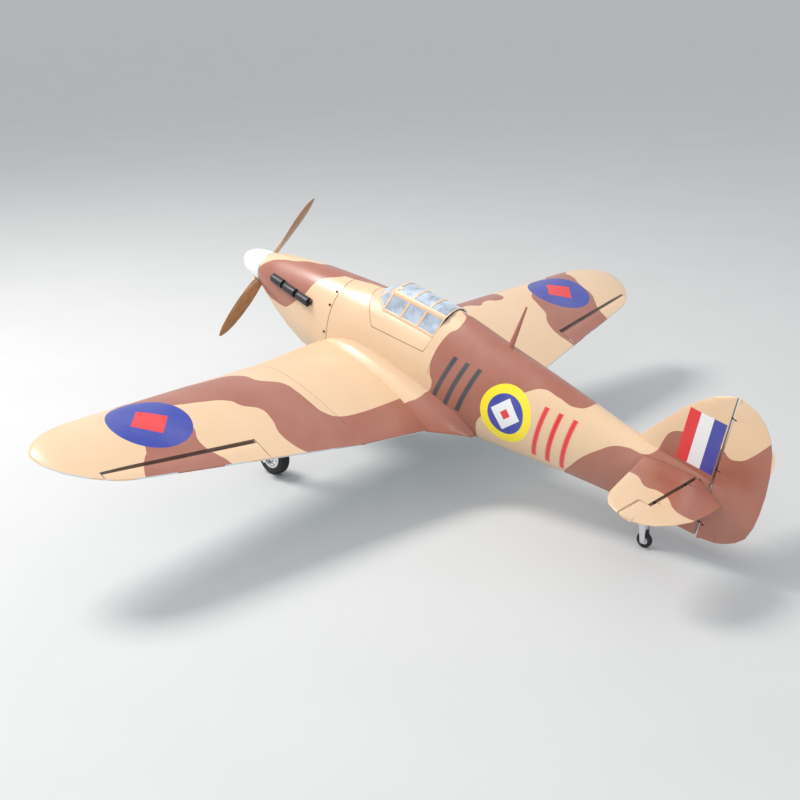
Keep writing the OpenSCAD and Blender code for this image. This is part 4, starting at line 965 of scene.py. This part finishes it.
def loop_round(low, high, gap):
    """Across and up of a band round a box, gap away from it and with its corners cut off."""
    x0, x1, z0, z1 = low[0] - gap, high[0] + gap, low[2] - gap, high[2] + gap
    corner = 4
    return [(x0 + corner, z0), (x0, z0 + corner), (x0, z1 - corner), (x0 + corner, z1),
            (x1 - corner, z1), (x1, z1 - corner), (x1, z0 + corner), (x1 - corner, z0)]


def battery_fittings():
    """Two straps round the battery, and its two power leads."""
    low, high = extent("battery_pack")
    tray = extent("equipment_trays")[1][2]
    outer = loop_round(low, high, 1.8)
    inner = loop_round(low, high, 0.4)
    half_width = 9
    straps = Piece()
    for share in (0.22, 0.74):
        y = low[1] + share * (high[1] - low[1])
        edges = ((outer, -half_width), (outer, half_width), (inner, half_width), (inner, -half_width))
        straps.skin([[(x, y + aside, z) for x, z in loop] for loop, aside in edges], hollow=True)
    straps.finish("battery_straps", "airframe", strap_grey)
    for name, x, material in (("battery_lead_red", -7, wire_red), ("battery_lead_black", 7, wire_black)):
        lead = Piece()
        lead.cord([(x, low[1], tray + 28), (x * 0.9, low[1] - 7, tray + 31), (x * 0.5, low[1] - 9, tray + 18),
                   (x * 0.6, low[1] - 7, tray + 5)], 2.3, 12)
        lead.finish(name, "airframe", material)


def servo_leads():
    """Three-wire leads from two servos to the receiver, and the receiver's two aerials."""
    low, high = extent("receiver")
    tray = extent("equipment_trays")[1][2]
    start = extent("servos")[1][1] - 40
    leads = Piece()
    for side in (-1, 1):
        x = side * 22
        port = side * 6
        leads.cord([(x, start, tray + 8), (x * 0.9, start - 30, tray + 4), (x * 0.3, start - 75, tray + 2.6),
                    (port, high[1] + 26, tray + 3), (port, high[1] - 1, (low[2] + high[2]) / 2)],
                   0.9, 8, flat=2.2)
    leads.finish("servo_leads", "airframe", wire_black)
    aerials = Piece()
    for side in (-1, 1):
        aerials.cord([(side * 10, high[1], high[2] - 3), (side * 18, high[1] + 14, high[2] + 2),
                      (side * 30, high[1] + 30, high[2] + 18), (side * 34, high[1] + 40, high[2] + 36)],
                     0.6, 8)
    grey = paint("aerial_grey", (0.25, 0.25, 0.26), 0.4)
    aerials.finish("receiver_aerials", "airframe", grey)


def motor_leads():
    """Three thick wires from the speed controller up to the motor, and the controller's heat sink."""
    low, high = extent("speed_controller")
    front = low[1]
    leads = Piece()
    for x in (-11, 0, 11):
        leads.cord([(x, front + 1, (low[2] + high[2]) / 2), (x * 1.3, front - 14, low[2] + 8),
                    (x * 1.6, front - 30, high[2] + 4), (x * 1.6, front - 66, high[2] + 12),
                    (x * 1.1, front - 82, high[2] + 15)], 1.9, 12)
    leads.finish("motor_leads", "airframe", wire_black)
    fins = Piece()
    for k in range(9):
        y = front + 12 + k * 7
        fins.block((low[0] + 3, y, low[2] - 5), (high[0] - 3, y + 2, low[2] + 0.5), 0.6)
    fins.finish("controller_heat_sink", "airframe", bare_steel)


def radiator_core():
    """The honeycomb behind the belly scoop's mouth: upright fins crossed by thin tubes."""
    low, _ = extent("belly_radiator")
    y = low[1] + 30
    foot, head = low[2] + 5, low[2] + 26
    half = 26
    fins, tubes = 19, 6
    core = Piece()
    for k in range(fins):
        x = -half + 2 * half * k / (fins - 1)
        core.block((x - 0.45, y, foot), (x + 0.45, y + 8, head), 0.2)
    for k in range(tubes):
        z = foot + 2 + (head - foot - 3) * k / (tubes - 1)
        core.cord([(-half - 1, y + 3, z), (0, y + 3, z), (half + 1, y + 3, z)], 0.8, 8)
    core.finish("radiator_core", "airframe", bare_steel)


def air_line(side, sign):
    """A thin air line down the back of each leg, held by two clips round the leg's tube."""
    low, high = extent("gear_leg_" + side)
    lug_reach = 11.9
    leg = sign * (max(abs(low[0]), abs(high[0])) - lug_reach)
    y = middle(low, high)[1]
    back = y + 9.6
    hose = Piece()
    hose.cord([(leg, back + 1, low[2] + 8), (leg, back, low[2] + 24), (leg + sign * 1.5, back, low[2] + 60),
               (leg, back, low[2] + 96), (leg - sign * 3, back - 2, high[2] - 14)], 1.1)
    hose.finish("air_line_" + side, "gear_" + side, wire_black)
    ring = ((0, 8.6), (0, 9.1), (0.2, 9.3), (3.8, 9.3), (4, 9.1), (4, 8.6))
    clips = Piece()
    for z in (low[2] + 26, low[2] + 90):
        clips.turned((leg, y, z), (0, 0, 1), ring, 40, hollow=True)
    clips.finish("hose_clips_" + side, "gear_" + side, bare_steel)


for side, sign in (("left", 1), ("right", -1)):
    tread("tread_" + side, "tyre_" + side, "wheel_" + side, ribs=36, grooves=3, bead_share=0.63)
    wheel_bolts(side, "wheel_" + side)
    air_line(side, sign)
tread("tread_tail", "tail_tyre", "tail_roller", ribs=20, grooves=1, bead_share=0.56)
instrument_panel()
control_stick()
seat_fittings()
battery_fittings()
servo_leads()
motor_leads()
radiator_core()


# ---------------------------------------------------------------- floor, light and camera

FLOOR_REACH = 60
LOOK_AT = (0, 0, 0.2)
SKY = (0.93, 0.96, 1.0)
SKY_STRENGTH = 0.75

# Where the camera stands, and which way its right side and its lens point, as across, aft and up
CAMERA_EYE = (2118.65, 2359.08, 1282.91)
CAMERA_RIGHT = (-0.68435, 0.71451, 0.14541)
CAMERA_FORWARD = (-0.68461, -0.56099, -0.4654)
CAMERA_LENS = 55.09


def floor_material():
    g = Graph("floor")
    cloud = g.ranged(g.noise(scale=3), 0.4, 0.6, 0, 0.3)
    g.set(base_color=g.mix(cloud, (0.60, 0.605, 0.60), (0.57, 0.575, 0.57)), roughness=0.75)
    return g.material


def add_object(name, data):
    obj = bpy.data.objects.new(name, data)
    bpy.context.scene.collection.objects.link(obj)
    return obj


def add_floor():
    mesh = bpy.data.meshes.new("floor")
    r = FLOOR_REACH
    mesh.from_pydata([(-r, -r, 0), (r, -r, 0), (r, r, 0), (-r, r, 0)], [], [(0, 1, 2, 3)])
    mesh.materials.append(floor_material())
    add_object("floor", mesh)


def add_area_light(name, spot, size, power, colour):
    """A round light that faces the aircraft."""
    data = bpy.data.lights.new(name, "AREA")
    data.shape = "DISK"
    data.size = size
    data.energy = power
    data.color = colour
    light = add_object(name, data)
    light.location = spot
    light.rotation_euler = (Vector(LOOK_AT) - Vector(spot)).to_track_quat("-Z", "Y").to_euler()


def add_world():
    world = bpy.data.worlds.new("studio")
    bpy.context.scene.world = world
    world.use_nodes = True
    sky = world.node_tree.nodes["Background"]
    sky.inputs["Color"].default_value = (*SKY, 1)
    sky.inputs["Strength"].default_value = SKY_STRENGTH


def direction(across, back, rise):
    """A direction given across, aft and up, in the row frame."""
    return (Vector((across, 0, 0)) + aft * back + up * rise).normalized()


def add_camera():
    """The camera stands behind, to the left and above, where all of the aircraft just fits."""
    data = bpy.data.cameras.new("camera")
    data.sensor_width = 36
    data.lens = CAMERA_LENS
    right = direction(*CAMERA_RIGHT)
    above = right.cross(direction(*CAMERA_FORWARD)).normalized()
    back = right.cross(above).normalized()
    turn = Matrix((right, above, back)).transposed().to_4x4()
    camera = add_object("camera", data)
    camera.matrix_world = Matrix.Translation(place(*CAMERA_EYE)) @ turn
    bpy.context.scene.camera = camera


add_floor()
add_world()
add_area_light("key", (1.2, -2.4, 3.6), size=1.6, power=150, colour=(1.0, 0.97, 0.93))
add_area_light("fill", (3.4, 2.6, 2.4), size=3.0, power=50, colour=(0.93, 0.96, 1.0))
add_camera()
bpy.context.scene.view_settings.view_transform = "Standard"
